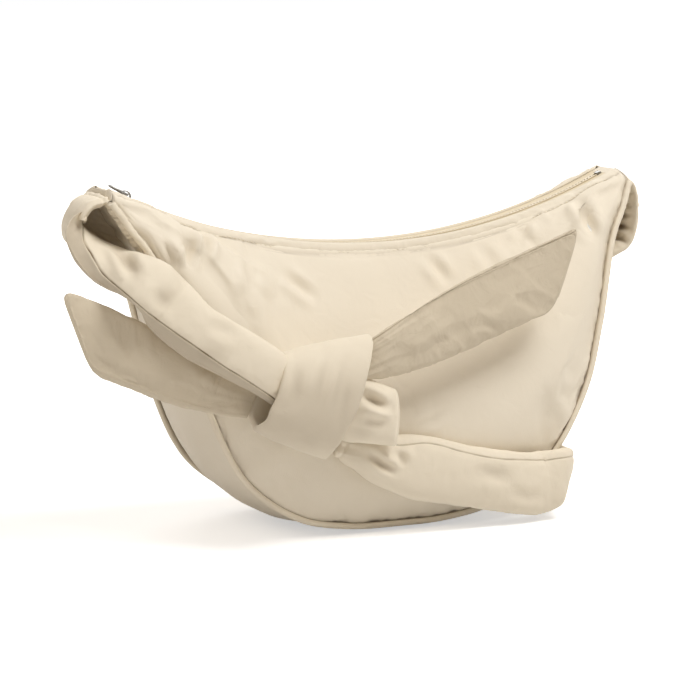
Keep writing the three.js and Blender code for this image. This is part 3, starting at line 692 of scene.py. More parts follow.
def add_panel(name, side, folds, node):
    """A panel's padded cover, with its folds, from the hem beside the zip down to the piped seam."""
    face = lambda u, v, depth: panel_point(side, u, row_share(v), depth)
    piece = shell(name, PANEL_COLUMNS, PANEL_ROWS, face, (0, COVER_DRAWN), (380, 210))
    rows = PANEL_ROWS + 1
    count = (PANEL_COLUMNS + 1) * rows
    # The inner face, the hem, the piped seam and the ends at the horns are held.
    held = [k for k in range(count * 2) if k >= count or k % rows in (0, 1, rows - 1)
        or k // rows in (0, PANEL_COLUMNS)]
    places = places_of(piece)
    settle(piece, held, pressure=3.0, most=3.2, grow=0.02)
    lines = [(Line(*points), width, depth) for points, width, depth in folds]
    deepest = 2.6  # no fold sinks further, so that the cover stays clear of the wadding

    def from_edges(k):
        column = k // rows
        return ((places[k] - places[column * rows]).length,
            (places[k] - places[column * rows + rows - 1]).length)

    def amount(k):
        if k >= count:
            return -amount(k - count)
        from_hem, from_rim = from_edges(k)
        x, z = places[k].x, places[k].z
        out = sum(line.valley((x, z), width, depth, ridge=0.9) for line, width, depth in lines)
        if out < 0:
            out = deepest * math.tanh(out / deepest)
        # The hem facing is flat and firm, and ends in a row of stitches.
        inside = smooth(6.5, 14, from_hem) * smooth(0, 12, from_rim)
        out *= inside
        out += 0.7 * wander(x / 34, z / 30, side * 3) * inside
        out -= 0.75 * bump(from_hem - HEM_ROW, 0.9) * smooth(4, 10, from_rim)
        out += 0.5 * bump(from_hem - 3.4, 2.6)
        # Small puckers where the cloth is gathered into the hem and the piped seam.
        out += 0.12 * wander(x / 5.5, z / 30, 7) * bump(from_hem - 12, 6) * inside
        out += 0.45 * wander(x / 6, z / 6, 9) * bump(from_rim - 5, 5)
        return out

    # Painted shade along the hem's row of stitches, in the groove beside the piping and in the folds.
    def painted_shade(k):
        from_hem, from_rim = from_edges(k % count)
        creased = sunk(lines, (places[k].x, places[k].z)) if k < count else 0.0
        return (0.35 * bump(from_hem - HEM_ROW, 0.8) * smooth(4, 10, from_rim)
            + groove_shade(places[k].z, side) * bump(from_rim, 2.0)
            + 0.05 * creased * smooth(6.5, 14, from_hem))

    relief(piece, amount, painted_shade)
    return dress(piece, BODY_CLOTH, "outer_cloth", "bag", node, fill=0.45)


def add_gusset():
    """The strip between the panels, from horn to horn, gathered most at the horns."""
    columns, rows, width = 220, 36, 100
    piece = shell("gusset_cover", columns, rows, gusset_point, (0, COVER_DRAWN), (SEAM_LENGTH, width))
    count = (columns + 1) * (rows + 1)
    places = places_of(piece)

    def amount(k):
        if k >= count:
            return -amount(k - count)
        along, over = (k // (rows + 1)) / columns, (k % (rows + 1)) / rows
        edge = min(over, 1 - over) * half_depth(places[k].z) * 2
        run = along * SEAM_LENGTH
        horn = bump(min(along, 1 - along) / 0.1, 1)
        out = 0.9 * wander(run / 20, over * 4, 5) * smooth(0, 10, edge)
        out += (0.4 + 0.8 * horn) * wander(run / 4.5, over * 3, 8) * bump(edge - 4, 5)
        out += 2.0 * horn * wander(run / 7, over * 2.2, 2) * smooth(0, 6, edge)
        return out * smooth(0.4, 8, places[k].z)

    # Painted shade in the grooves beside the piping.
    def painted_shade(k):
        over = (k % count % (rows + 1)) / rows
        return groove_shade(places[k].z, over - 0.5) * bump(min(over, 1 - over) * width, 2.0)

    relief(piece, amount, painted_shade)
    dress(piece, BODY_CLOTH, "outer_cloth", "bag", "gusset", fill=0.35)


def add_inner_layers():
    """Wadding and lining, which the closed bag hides. They stop a little short of the horns and the seams,
    and the wadding makes room for the covers' folds."""
    room = 1.4
    for what, depth, thick, material, slot, fill in (
        ("wadding", COVER + LAYER_GAP + room, WADDING - room, WADDING_FIBRE, "wadding_felt", 0.5),
        ("lining", COVER + WADDING + LAYER_GAP * 2, LINING, LINING_CLOTH, "lining_cloth", None),
    ):
        depths = (depth, depth + thick)
        for node, side in (("front", -1), ("back", 1)):
            face = lambda u, v, d: panel_point(side, mix(0.09, 0.91, u), v * 0.99, d)
            piece = shell(f"{node}_{what}_layer", 60, 24, face, depths, (340, 200))
            dress(piece, material, slot, "bag", f"{node}_{what}", fill=fill)
        face = lambda u, v, d: gusset_point(mix(0.085, 0.915, u), mix(0.02, 0.98, v), d)
        piece = shell(f"gusset_{what}_layer", 90, 10, face, depths, (700, 90))
        dress(piece, material, slot, "bag", f"gusset_{what}", fill=fill)


def add_piping(name, side, node):
    """A cord covered with the bag's own cloth, gathered most at the horns."""
    steps, sides = 520, 18
    outward = Vector((0, side, 0))
    rings = []
    for i in range(steps + 1):
        along = mix(0.002, 0.998, i / steps)
        corner = seam_point(along, 0)
        out = (seam_point(along, -1) - corner).normalized()
        corner.y = side * half_depth(corner.z)
        away = (out + outward).normalized()
        horn = bump(min(along, 1 - along) / 0.09, 1)
        centre = corner + away * (PIPING_RADIUS - 0.15)
        run = along * SEAM_LENGTH
        ring = []
        for j in range(sides):
            angle = j / sides * TURN
            gathers = 0.3 * horn * wander(run / 2.1, j * 0.25, 4)
            thick = PIPING_RADIUS * (1 + 0.05 * wander(run / 9, j * 0.2, side) + gathers)
            ring.append(centre + out * math.cos(angle) * thick + outward * math.sin(angle) * thick)
        rings.append(ring)
    ends = []
    for ring in (rings[0], rings[-1]):
        middle = sum(ring, Vector()) / sides
        ends.append([[middle + (p - middle) * s for p in ring] for s in (0.25, 0.65, 0.9)])
    rings = ends[0] + rings + ends[1][::-1]
    piece = tube(name, rings)
    # Painted shade on the side that lies in the seam. The outermost side is 1/8 of a turn round.
    inner = [smooth(0.0, -0.6, math.cos((j / sides - 1 / 8) * TURN)) for j in range(sides)]
    mark(piece, [groove_shade(ring[0].z, side) * share for ring in rings for share in inner] + [0.0, 0.0])
    dress(piece, PIPING_CLOTH, "piping_cloth", "bag", node, fill=0.9)


# Padded tubes of cloth: the strap, the insides of the knot and the tails

SECTION_STEPS = 160


@functools.lru_cache(maxsize=None)
def section(width, thick, squareness, pinch):
    """An oval's points with the way round it. Pinch above 1 draws its two edges thin."""
    points = []
    for j in range(SECTION_STEPS + 1):
        angle = j / SECTION_STEPS * TURN
        c, s = math.cos(angle), math.sin(angle)
        points.append((math.copysign(abs(c) ** squareness, c) * width / 2,
            math.copysign(abs(s) ** pinch, s) * thick / 2))
    ways = [0.0]
    for p, q in zip(points, points[1:]):
        ways.append(ways[-1] + math.dist(p, q))
    return points, ways


class Sleeve:
    """A padded tube. It knows each point's way along it, and its way round it from the seam.
    Crowd above 0 draws its points together at the seam."""

    def __init__(self, sides, crowd=0.7, squareness=0.75, pinch=1.0):
        self.sides, self.crowd = sides, crowd
        self.form = squareness, pinch
        self.rings, self.run, self.turn = [], [], []
        self.middle = None

    def add(self, centre, w, n, width, thick, seam=0.0):
        """Adds an oval. Seam is the share of the way round at which its seam lies."""
        points, ways = section(round(width, 1), round(thick, 1), *self.form)
        girth = ways[-1]
        ring = []
        run = self.run[-1] + (centre - self.middle).length if self.run else 0.0
        for j in range(self.sides):
            u = j / self.sides
            g = u - self.crowd * math.sin(TURN * u) / TURN
            way = (seam + g) % 1 * girth
            i = min(bisect.bisect_right(ways, way), SECTION_STEPS) - 1
            part = (way - ways[i]) / (ways[i + 1] - ways[i])
            a, b = (mix(p, q, part) for p, q in zip(points[i], points[i + 1]))
            ring.append(centre + w * a + n * b)
            self.run.append(run)
            self.turn.append((g if g < 0.5 else g - 1) * girth)
        self.middle = centre
        self.rings.append(ring)

    def close(self, shares, ways):
        """Rounds off both ends with smaller and smaller ovals."""
        for end in (0, -1):
            ring = self.rings[end]
            inner = self.rings[1 if end == 0 else -2]
            middle = sum(ring, Vector()) / self.sides
            out = (middle - sum(inner, Vector()) / self.sides).normalized()
            row = slice(0, self.sides) if end == 0 else slice(-self.sides, None)
            run, turn = self.run[row], self.turn[row]
            for share, way in zip(shares, ways):
                smaller = [middle + (p - middle) * share + out * way for p in ring]
                if end == 0:
                    self.rings.insert(0, smaller)
                    self.run, self.turn = run + self.run, turn + self.turn
                else:
                    self.rings.append(smaller)
                    self.run, self.turn = self.run + run, self.turn + turn

    def piece(self, name):
        return tube(name, self.rings)

    def groove(self, k):
        """1 on the seam, 0 beside it: where the painted shade along the seam lies."""
        return bump(self.turn[k], 0.5) if k < len(self.turn) else 0.0


def station(at, w, width=STRAP_WIDTH, thick=STRAP_THICK):
    """A place that the strap goes through, with its width's direction and its size there."""
    return at, Vector(w), Vector((width, thick, 0))


def follow(stations, share):
    """Centre, width's direction, thickness's direction and size of the strap at a share of its way."""
    path, width, size = ([s[i] for s in stations] for i in range(3))
    way = (spline(path, clamp(share + NUDGE)) - spline(path, clamp(share - NUDGE))).normalized()
    w = spline(width, share)
    w = (w - way * w.dot(way)).normalized()
    grown = spline(size, share)
    return spline(path, share), w, way.cross(w), grown.x, grown.y


def seam_shares(frames, line, form):
    """For each oval, the share of the way round it that lies nearest to a line. Every fifth oval is measured,
    and the others follow smoothly."""
    found = {}
    for i in range(0, len(frames), 5):
        centre, w, n, width, thick = frames[i]
        points, ways = section(round(width, 1), round(thick, 1), *form)
        best = 9.0
        for (a, b), way in list(zip(points, ways))[:SECTION_STEPS:2]:
            near = line.near(centre + w * a + n * b, best)
            if near and 0.001 < near[1] < 0.999:
                best = near[0]
                found[i] = way / ways[-1]
    known = sorted(found)
    shares = []
    for i in range(len(frames)):
        place = bisect.bisect_left(known, i)
        behind, ahead = known[max(place - 1, 0)], known[min(place, len(known) - 1)]
        step = clamp((i - behind) / (ahead - behind)) if ahead > behind else 0.0
        turn = (found[ahead] - found[behind] + 0.5) % 1 - 0.5
        shares.append(found[behind] + turn * step)
    for smoothing in range(6):
        shares = [(shares[max(i - 3, 0)] + s + shares[min(i + 3, len(shares) - 1)]) / 3
            for i, s in enumerate(shares)]
    return shares


def fold_stations(side, gap, reach, fall, lean=0.0):
    """From a horn the strap leaves level, pressed flat, and turns down in a tight fold. The fold goes out by
    reach and down by fall, and lean is how far its back edge ends below its front one."""
    root = Vector((side * (TIP_REACH + gap), 0, TIP_HEIGHT + HORN_RISE - STRAP_DROP))
    turn = lambda angle: root + Vector((side * math.sin(angle) * reach, 0, (math.cos(angle) - 1) * fall))
    return [station(turn(share * math.pi), (0, -side, -lean * share ** 2 * 4), thick=STRAP_FOLD)
        for share in (0, 0.25, 0.5)]


def along_at(side, height):
    """How far along the seam it reaches a height, on the left (-1) or the right (1)."""
    low, high = (0.5, 0.0) if side < 0 else (0.5, 1.0)
    for halving in range(24):
        along = (low + high) / 2
        if seam_point(along, 0).z < height:
            low = along
        else:
            high = along
    return low


def beside(side, up_share, depth_share, standoff, w, wide=1.0, full=1.0):
    """A station beside the gusset. Wide and full are shares of the strap's width and thickness."""
    at = seam_point(along_at(side, up_share * TIP_HEIGHT), -GUSSET_SWELL - standoff)
    at.y = depth_share * half_depth(up_share * TIP_HEIGHT)
    return station(at, w, STRAP_WIDTH * wide, STRAP_THICK * full)


def before(across_share, up_share, swell_share, standoff, w, wide=1.0, full=1.0):
    """A station before the front panel."""
    z = up_share * TIP_HEIGHT
    y = -(half_depth(z) + PANEL_SWELL * swell_share + standoff)
    return station(Vector((across_share * TIP_REACH, y, z)), w, STRAP_WIDTH * wide, STRAP_THICK * full)


HALF = STRAP_THICK / 2
# The knot's middle and its own directions: along the strap, across it and out of the panel
KNOT = panel_point(-1, 0.343, 0.579, 0) - Vector((0, BAND_DEPTH + FIT * 6, 0))
KNOT_X = Vector((math.cos(KNOT_TILT), 0, math.sin(KNOT_TILT)))
KNOT_Y = Vector((-math.sin(KNOT_TILT), 0, math.cos(KNOT_TILT)))
KNOT_Z = Vector((0, -1, 0))


def knot_way(x, y, z):
    """A direction in the knot's own directions."""
    return KNOT_X * x + KNOT_Y * y + KNOT_Z * z


def from_knot(x, y, z):
    """A place measured from the knot's middle."""
    return KNOT + knot_way(x, y, z)


LEFT_STATIONS = fold_stations(-1, 0.8, 16, 16, lean=0.5) + [
    beside(-1, 0.94, -0.34, HALF * 2.15, (0.35, 0.95, 0.1), 1.06, 0.7),
    beside(-1, 0.886, -1.15, HALF * 2.36, (0.7, 0.6, 0.35), 0.94, 0.8),
    beside(-1, 0.822, -1.92, HALF * 1.75, (0.7, 0.2, 0.6), 0.84, 0.86),
    before(-0.892, 0.714, 0.7, HALF * 2, (0.62, 0.1, 0.78), 0.88),
    before(-0.817, 0.647, 0.95, HALF * 2.2, (0.56, 0, 0.83), 0.8),
    before(-0.702, 0.584, 1, HALF * 2.45, (0.52, 0, 0.85), 0.8),
    station(from_knot(-BAND_LEFT - HALF, HALF * 0.9, HALF * 0.5), knot_way(0.1, 1, 0), STRAP_WIDTH * 0.76),
    station(from_knot(-BAND_LEFT + HALF, HALF * 0.2, HALF * 0.5), knot_way(0, 1, 0), STRAP_WIDTH * 0.68),
    station(from_knot(-BAND_LEFT + HALF * 2.6, -HALF * 0.4, HALF * 0.3), knot_way(0, 1, 0),
        STRAP_WIDTH * 0.6, 12),
]
RIGHT_STATIONS = fold_stations(1, 1.7, 8.3, 18) + [
    beside(1, 0.87, 0.1, HALF * 2.4, (0, -1, 0), 1, 0.6),
    beside(1, 0.76, 0.32, HALF * 1.2, (0, -1, 0)),
    beside(1, 0.64, 0.38, HALF * 1.15, (0, -1, 0)),
    beside(1, 0.51, 0.4, HALF * 1.15, (0, -1, 0)),
    beside(1, 0.39, 0.36, HALF * 1.15, (0.1, -1, 0.1)),
    beside(1, 0.285, 0.24, HALF * 1.2, (0.25, -0.85, 0.4)),
    beside(1, 0.215, 0, HALF * 1.3, (0.45, -0.5, 0.7), 0.88),
    beside(1, 0.192, -0.4, HALF, (0.6, -0.2, 0.8), 0.66, 0.75),
    beside(1, 0.186, -0.88, HALF * 1.15, (0.45, 0, 0.88), 0.64, 0.75),
    before(0.61, 0.137, 0, HALF * 2, (0.25, 0, 0.97), 0.8),
    before(0.53, 0.119, 0.2, HALF * 1.8, (0, 0, 1), 0.94),
    before(0.45, 0.122, 0.42, HALF * 1.55, (0, 0, 1), 0.92),
    before(0.32, 0.142, 0.56, HALF * 1.35, (0, 0, 1), 0.9),
    before(0.16, 0.173, 0.7, HALF * 1.2, (0, 0, 1), 0.9),
    before(0.02, 0.203, 0.78, HALF * 1.15, (0, 0, 1), 0.94),
    before(-0.11, 0.232, 0.8, HALF * 1.15, (0.2, 0, 1), 0.76),
    before(-0.2, 0.262, 0.84, HALF * 1.1, (0.4, 0, 0.9), 0.55),
    before(-0.28, 0.292, 0.84, HALF * 0.95, (0.4, 0, 0.9), 0.4, STRAP_FOLD / STRAP_THICK),
]
# Seams and folds, by places on the cloth
LEFT_SEAM = Line((-204.1, -5.9, 209.6), (-208.2, -24.5, 201.3), (-207.2, -38.0, 189.9),
    (-203.6, -51.7, 181.0), (-197.4, -71.3, 170.3), (-179.4, -76.4, 154.7), (-161.1, -85.1, 140.5),
    (-139.5, -90.0, 123.9), (-120.6, -97.7, 111.0), (-114.6, -98.9, 106.6))
LEFT_FOLDS = [
    (Line((-188.1, -21.2, 194.9), (-187.9, -40.6, 190.5), (-189.5, -60.6, 185.1), (-190.8, -67.6, 179.6),
        (-194.9, -69.5, 175.6)), 4, 3.4),
    (Line((-203, -24, 204), (-200, -38, 195), (-198, -50, 186)), 3.5, 2.0),
    (Line((-183.8, -75.3, 173.8), (-176, -77, 167), (-168.3, -78.1, 160.6)), 5, 1.4),
    (Line((-154.9, -86.4, 145.0), (-142, -89, 140), (-129.8, -91.3, 134.6)), 5, -1.2),
]
RIGHT_SEAM = Line((-14.6, -82.8, 61.4), (-2.1, -81.9, 62.9), (6.6, -81.1, 63.8), (16.7, -80.9, 61.3),
    (31.4, -81.0, 55.7), (47.8, -80.5, 51.0), (67.1, -79.5, 47.0), (86.3, -77.8, 44.8), (106.9, -75.3, 42.6),
    (116.7, -73.0, 42.7))
RIGHT_FOLDS = [
    (Line((196.2, 8, 204), (196.6, -8, 205.5), (198, -21, 206)), 2.0, 1.8),
    (Line((196.2, 8, 196.5), (196.4, -6, 198), (197.6, -20, 199.5)), 1.8, 2.0),
    (Line((196, 8, 188), (196.2, -6, 190.5), (197.2, -20, 190)), 2.0, 2.2),
    (Line((190, 0, 182), (194, -12, 182), (195, -21, 178)), 2.2, 1.8),
    (Line((-39.3, -82.9, 62.7), (-34, -83.9, 57.1), (-26.6, -83.6, 51.2), (-19.2, -83.3, 47.2),
        (-12.6, -83.2, 44)), 2.6, 3.0),
    (Line((-14.7, -82.8, 60.7), (-12, -83.3, 54.6), (-9.1, -83.5, 47.7)), 3, 1.8),
    (Line((40, -81, 44), (58, -80, 38), (76, -78, 33)), 5, 1.4),
    (Line((66.4, -79.9, 26), (84, -78, 20), (100, -77, 19)), 4, 1.0),
]


# Deep shade inside the strap's two turned-down folds: middle, reach and strength
LEFT_SHADE = Vector((-199, -6, 209)), Vector((5, 13, 9)), 0.9
RIGHT_SHADE = Vector((193, 7, 196)), Vector((7, 22, 25)), 1.0


def add_strap(name, node, stations, line, folds, shade, steps, sides, seam, strip, seed):
    """Half of the strap, from its horn to the knot. Seam is how strongly the seam draws the cloth in, 0 to 1,
    and strip how far the cloth under it is pressed flat. Both also set the painted shade there, and shade
    places the painted shade inside the turned-down fold."""
    frames = [follow(stations, i / steps) for i in range(steps + 1)]
    sleeve = Sleeve(sides)
    shares = seam_shares(frames, line, sleeve.form)
    for (centre, w, n, width, thick), share in zip(frames, shares):
        sleeve.add(centre, w, n, width, thick, share)
    sleeve.close((0.93, 0.8, 0.5), (0.7, 1.2, 1.4))
    piece = sleeve.piece(name)
    length = max(sleeve.run)
    places = places_of(piece)

    def inside_at(place):
        reach = Vector([a / b for a, b in zip(place - shade[0], shade[1])]).length
        return smooth(1.3, 0.4, reach)

    def amount(k):
        if k >= len(sleeve.run):
            return 0.0
        run, turn = sleeve.run[k], sleeve.turn[k]
        place = places[k]
        away = min(run, length - run)
        out = creases(folds, place)
        out += 0.5 * wander(place.x / 17, place.y / 17, place.z / 17 + seed)
        out += 0.22 * wander(place.x / 6, place.y / 6, place.z / 6 + seed)
        # Gathered where the strap is sewn to the horn and where it goes into the knot.
        out += 1.0 * wander(turn / 3.4, run / 30, seed) * bump(away, 13)
        out -= 0.8 * bump(away - 3.2, 1.1)
        # The seam draws the cloth in, with small puckers on both sides of it.
        drawn = seam * (0.8 + 0.5 * wander(run / 14, seed, 4))
        out -= drawn * (1.5 * bump(turn, 0.6) + 0.9 * bump(turn, 3.2))
        out += 0.35 * wander(run / 3.1, turn / 9, seed + 3) * bump(abs(turn) - 3, 3)
        if 0 < turn < 17:
            out -= strip * math.sin(math.pi * turn / 17) ** 0.8 * smooth(30, 60, run)
        # Close radial creases where the strap is drawn together at the horn.
        out += 0.9 * wander(run / 2.4, turn / 16, seed + 6) * bump(run - 20, 14) * bump(turn, 12)
        return out

    # Painted shade along the seam, on the flat strip below it, inside the turned-down fold and in the folds.
    def painted_shade(k):
        if k >= len(sleeve.run):
            return 0.0
        run, turn, place = sleeve.run[k], sleeve.turn[k], places[k]
        drawn = seam * clamp(0.75 + 0.6 * wander(run / 11, seed, 2)) * sleeve.groove(k)
        under = 0.12 * strip * smooth(0, 2, turn) * smooth(20, 15, turn) * smooth(24, 50, run)
        return clamp(max(drawn, under, shade[2] * inside_at(place)) + 0.12 * sunk(folds, place))

    relief(piece, amount, painted_shade)
    dress(piece, STRAP_CLOTH, "strap_cloth", "bag", node, fill=0.6)


def add_root_web():
    """The turned-in edge of the strap's end, gathered against the gusset under the left horn."""
    columns, rows = 30, 56
    top, foot = 222, 176

    def face(u, v, depth):
        # From the gusset (u 0) to the strap (u 1), and down from the horn (v 0) to where they meet (v 1).
        wall = gusset_point(along_at(-1, mix(top, foot, v)), 0.58 + 0.06 * v, 2.0)
        centre, w, n, width, thick = follow(LEFT_STATIONS, mix(0.03, 0.33, v))
        if n.x < 0:
            n = -n
        edge = centre + n * (thick / 2 - 1.2) + Vector((0, 1, 0)) * 9 * (1 - v)
        point = wall.lerp(edge, u)
        sag = math.sin(math.pi * u)
        point.y += 5 * sag * (1 - 0.6 * v) + depth
        fold = 0.8 * wander(v * 26, u * 2.2, 6) + 0.6 * wander(v * 9, u * 4, 2)
        return point + Vector((0.5, 0.6, 0)) * fold * sag

    piece = shell("strap_left_turned_edge", columns, rows, face, (0, 0.9), (28, 52))
    count = len(piece.data.vertices) // 2
    # Painted shade inside the hollow under the horn, darker towards the strap, and a little on the other
    # face.
    mark(piece, [0.3 + 0.45 * (k // (rows + 1)) / columns for k in range(count)] + [0.2] * count)
    dress(piece, STRAP_CLOTH, "strap_cloth", "bag", fill=0.2)


def add_mouth_rim():
    """The turned-in edge of the strap's end, a gathered roll along the horn's front seam."""
    rings = []
    steps, sides = 150, 28
    top, foot, depth = 227.5, 180, -1.7
    for i in range(steps + 1):
        share = i / steps
        height = mix(top, foot, share)
        along = along_at(-1, height)
        over = 0.125 + 0.01 * wander(share * 5, 3.3)
        middle = gusset_point(along, over, depth)
        near, far = (gusset_point(along, over + shift, depth) for shift in (-0.02, 0.02))
        across = (far - near).normalized()
        way = (gusset_point(along_at(-1, height - 1), over, depth) - middle).normalized()
        out = across.cross(way).normalized()
        if out.x > 0:
            out = -out
        full = smooth(-0.02, 0.06, share) * smooth(1.04, 0.9, share)
        ring = []
        for j in range(sides):
            turn = TURN * j / sides
            gather = 0.8 * wander(share * 34, math.cos(turn) * 0.6, math.sin(turn) * 0.6)
            gather += 0.4 * wander(share * 71, math.cos(turn), 4)
            wide = (4.3 + gather) * (0.3 + 0.7 * full)
            thick = (2.3 + gather * 0.8) * (0.3 + 0.7 * full)
            ring.append(middle + across * math.cos(turn) * wide + out * math.sin(turn) * thick)
        rings.append(ring)
    piece = tube("strap_left_gathered_edge", rings)
    # Painted shade on the roll, deeper in patches along it.
    mark(piece, [clamp(0.12 + 0.6 * max(0.0, -wander(k // sides / steps * 34, 0.4, 0.4)), high=0.6)
        for k in range(len(piece.data.vertices))])
    dress(piece, STRAP_CLOTH, "strap_cloth", "bag", fill=0.3)


# The knot

def band_at(x):
    """The band's middle and its half height, at a place along it. It widens to the right."""
    share = (x + BAND_LEFT) / (BAND_LEFT + BAND_RIGHT)
    return mix(-4, 11, share), mix(28, 44, share)


def add_band():
    """One turn of the strap's cloth, pulled tight round the knot and wider at its right edge."""
    around = 210
    half = BAND_THICK / 2
    # The section of the band: shares of its width, with the depth below its outer face. Its edges are rolled.
    roll, bends, outside, inside = 0.045, 8, 44, 14
    loop = [(mix(0.06, 0.94, i / outside), 0.0) for i in range(outside + 1)]
    for i in range(1, bends + 1):
        angle = math.pi * (i / bends - 0.5)
        loop.append((1 + (math.cos(angle) - 1) * roll, half + math.sin(angle) * half))
    loop += [(mix(0.93, 0.07, i / inside), BAND_THICK) for i in range(inside + 1)]
    for i in range(bends):
        angle = math.pi * (i / bends + 0.5)
        loop.append(((math.cos(angle) + 1) * roll, half + math.sin(angle) * half))
    rings = []
    for i in range(around):
        angle = i / around * TURN
        height = math.copysign(abs(math.sin(angle)) ** 0.8, math.sin(angle))
        ring = []
        for share, inset in loop:
            edge = smooth(0.75, 1, share)
            x = mix(-BAND_LEFT, BAND_RIGHT, share) + edge * (1.1 * wander(angle * 2.6, 1.5) - 0.4)
            x -= smooth(0.3, 0, share) * 1.2 * wander(angle * 2.2, 6.5)
            rise, reach = band_at(x)
            tight = smooth(0.34, 0, share)
            deep = BAND_DEPTH - inset - 4.2 * tight * smooth(-0.2, 0.5, math.cos(angle))
            ring.append(from_knot(x, rise + height * (reach - inset - 1.5 * tight), math.cos(angle) * deep))
        rings.append(ring)
    piece = tube("knot_band_wrap", rings, joined=True)
    places = places_of(piece)
    folds = [
        (Line((-66.3, -99.7, 131.1), (-72.2, -106.3, 120.1), (-77.4, -108.5, 105.4), (-80, -108, 92)),
            3.2, -1.3),
        (Line((-92.9, -101.4, 127.2), (-97, -106, 112), (-100, -108, 98)), 4.5, 1.2),
        (Line((-60, -103, 122), (-64, -107, 104), (-67.5, -106.8, 81.2)), 4, 0.9),
        (Line((-90, -107, 80), (-84, -104, 68)), 3, 0.9),
    ]

    def amount(k):
        i, j = divmod(k, len(loop))
        share, inset = loop[j]
        angle = i / around * TURN
        if inset > BAND_THICK - 0.6:
            return 0.0
        out = creases(folds, places[k])
        out += 0.9 * wander(share * 3.2, math.cos(angle) * 1.3, math.sin(angle) * 1.3 + 4)
        out += 0.3 * wander(share * 9, math.cos(angle) * 3, math.sin(angle) * 3)
        return out - 0.7 * (2 * share - 1) ** 2

    # Painted shade: a little all over, more across the band's middle height, and in its folds.
    def painted_shade(k):
        place = places[k]
        shaded = 0.2 * smooth(128, 100, place.z) * smooth(50, 80, place.z)
        return clamp(0.04 + shaded + 0.1 * sunk(folds, place), high=0.5)

    relief(piece, amount, painted_shade)
    dress(piece, STRAP_CLOTH, "strap_cloth", "bag", "knot_band", fill=0.5)


def add_crossing():
    """The two halves of the strap, pressed together inside the band."""
    sleeve = Sleeve(96, crowd=0.0, squareness=1.0)
    room, steps = BAND_THICK + FIT, 40
    for i in range(steps + 1):
        x = mix(-BAND_LEFT + STRAP_THICK, BAND_RIGHT, i / steps)
        rise, reach = band_at(x)
        end = 1 - 0.12 * smooth(0.9, 1, i / steps)
        width, thick = (reach - room) * 2 * end, (BAND_DEPTH - room) * 2 * end
        sleeve.add(from_knot(x, rise, 0), KNOT_Y, KNOT_Z, width, thick)
    sleeve.close((0.8, 0.5), (0.2, 0.3))
    piece = sleeve.piece("knot_crossing_folds")
    fold = lambda k: wander(sleeve.turn[k] / 7, sleeve.run[k] / 40, 5) if k < len(sleeve.turn) else 0.0
    # Painted shade all over the crossing inside the band, deeper in its folds.
    relief(piece, lambda k: -0.9 + 0.9 * fold(k), lambda k: 0.35 + 0.3 * max(0.0, -fold(k)))
    dress(piece, STRAP_CLOTH, "strap_cloth", "bag", "knot_crossing", fill=0.6)


# How far the bight reaches, how far it has turned upright, and how full it is
BIGHT_SHARES = [(0, 0, 0.7), (0.3, 0.3, 1), (0.65, 0.6, 1), (0.9, 0.9, 0.8), (1, 1, 0.4)]


def add_bight():
    """The bight of the strap that stands out of the band, folded over at its upright end."""
    sleeve = Sleeve(120, crowd=0.0, squareness=0.7)
    shares = [Vector(s) for s in BIGHT_SHARES]
    upright = Vector((math.sin(KNOT_TILT), math.cos(KNOT_TILT), 0))
    steps = 70
    for i in range(steps + 1):
        reach, height, full = spline(shares, i / steps)
        w = Vector((0, 1, 0)).lerp(upright, reach).normalized()
        middle = Vector((BAND_RIGHT + FIT + reach * BIGHT_REACH, 4 + reach * 4, 1))
        sleeve.add(from_knot(*middle), knot_way(*w), KNOT_Z, mix(43, 38, height), BIGHT_THICK * full)
    sleeve.close((0.96, 0.86, 0.6), (0.8, 1.5, 1.9))
    piece = sleeve.piece("knot_bight_fold")
    places = places_of(piece)
    at = lambda x, y, z: tuple(from_knot(x, y, z))
    folds = [
        (Line(at(24, 2, 9), at(36, 6, 10), at(50, 8, 9), at(58, 7, 8)), 3.4, -2.6),
        (Line(at(22, 16, 9), at(34, 15, 10), at(46, 13, 9), at(54, 12, 7)), 3.0, 3.2),
        (Line(at(24, -12, 10), at(36, -10, 10), at(48, -9, 9)), 5.0, 1.6),
        (Line(at(50, 22, 6), at(54, 12, 6), at(57, 0, 6)), 3.0, 1.2),
    ]

    def amount(k):
        if k >= len(sleeve.run):
            return 0.0
        place, run, turn = places[k], sleeve.run[k], sleeve.turn[k]
        out = creases(folds, place)
        out += 0.5 * wander(place.x / 14, place.y / 14, place.z / 14 + 2)
        out += 0.2 * wander(place.x / 5, place.y / 5, place.z / 5)
        return out + 0.7 * wander(turn / 4, run / 25, 3) * bump(run, 9)

    # Painted shade in the folds.
    relief(piece, amount, lambda k: clamp(0.07 * sunk(folds, places[k]), high=0.4))
    dress(piece, STRAP_CLOTH, "strap_cloth", "bag", "knot_bight", fill=0.6)


# The tails

# How far along a tail, how far it has opened to its width, and how full it is
TAIL_SHARES = [
    (0, 0, 0), (0.05, 0.15, 0.55), (0.14, 0.45, 0.9), (0.3, 0.8, 1),
    (0.52, 0.97, 1), (0.78, 1, 0.9), (0.94, 1, 0.6), (1, 0.96, 0),
]


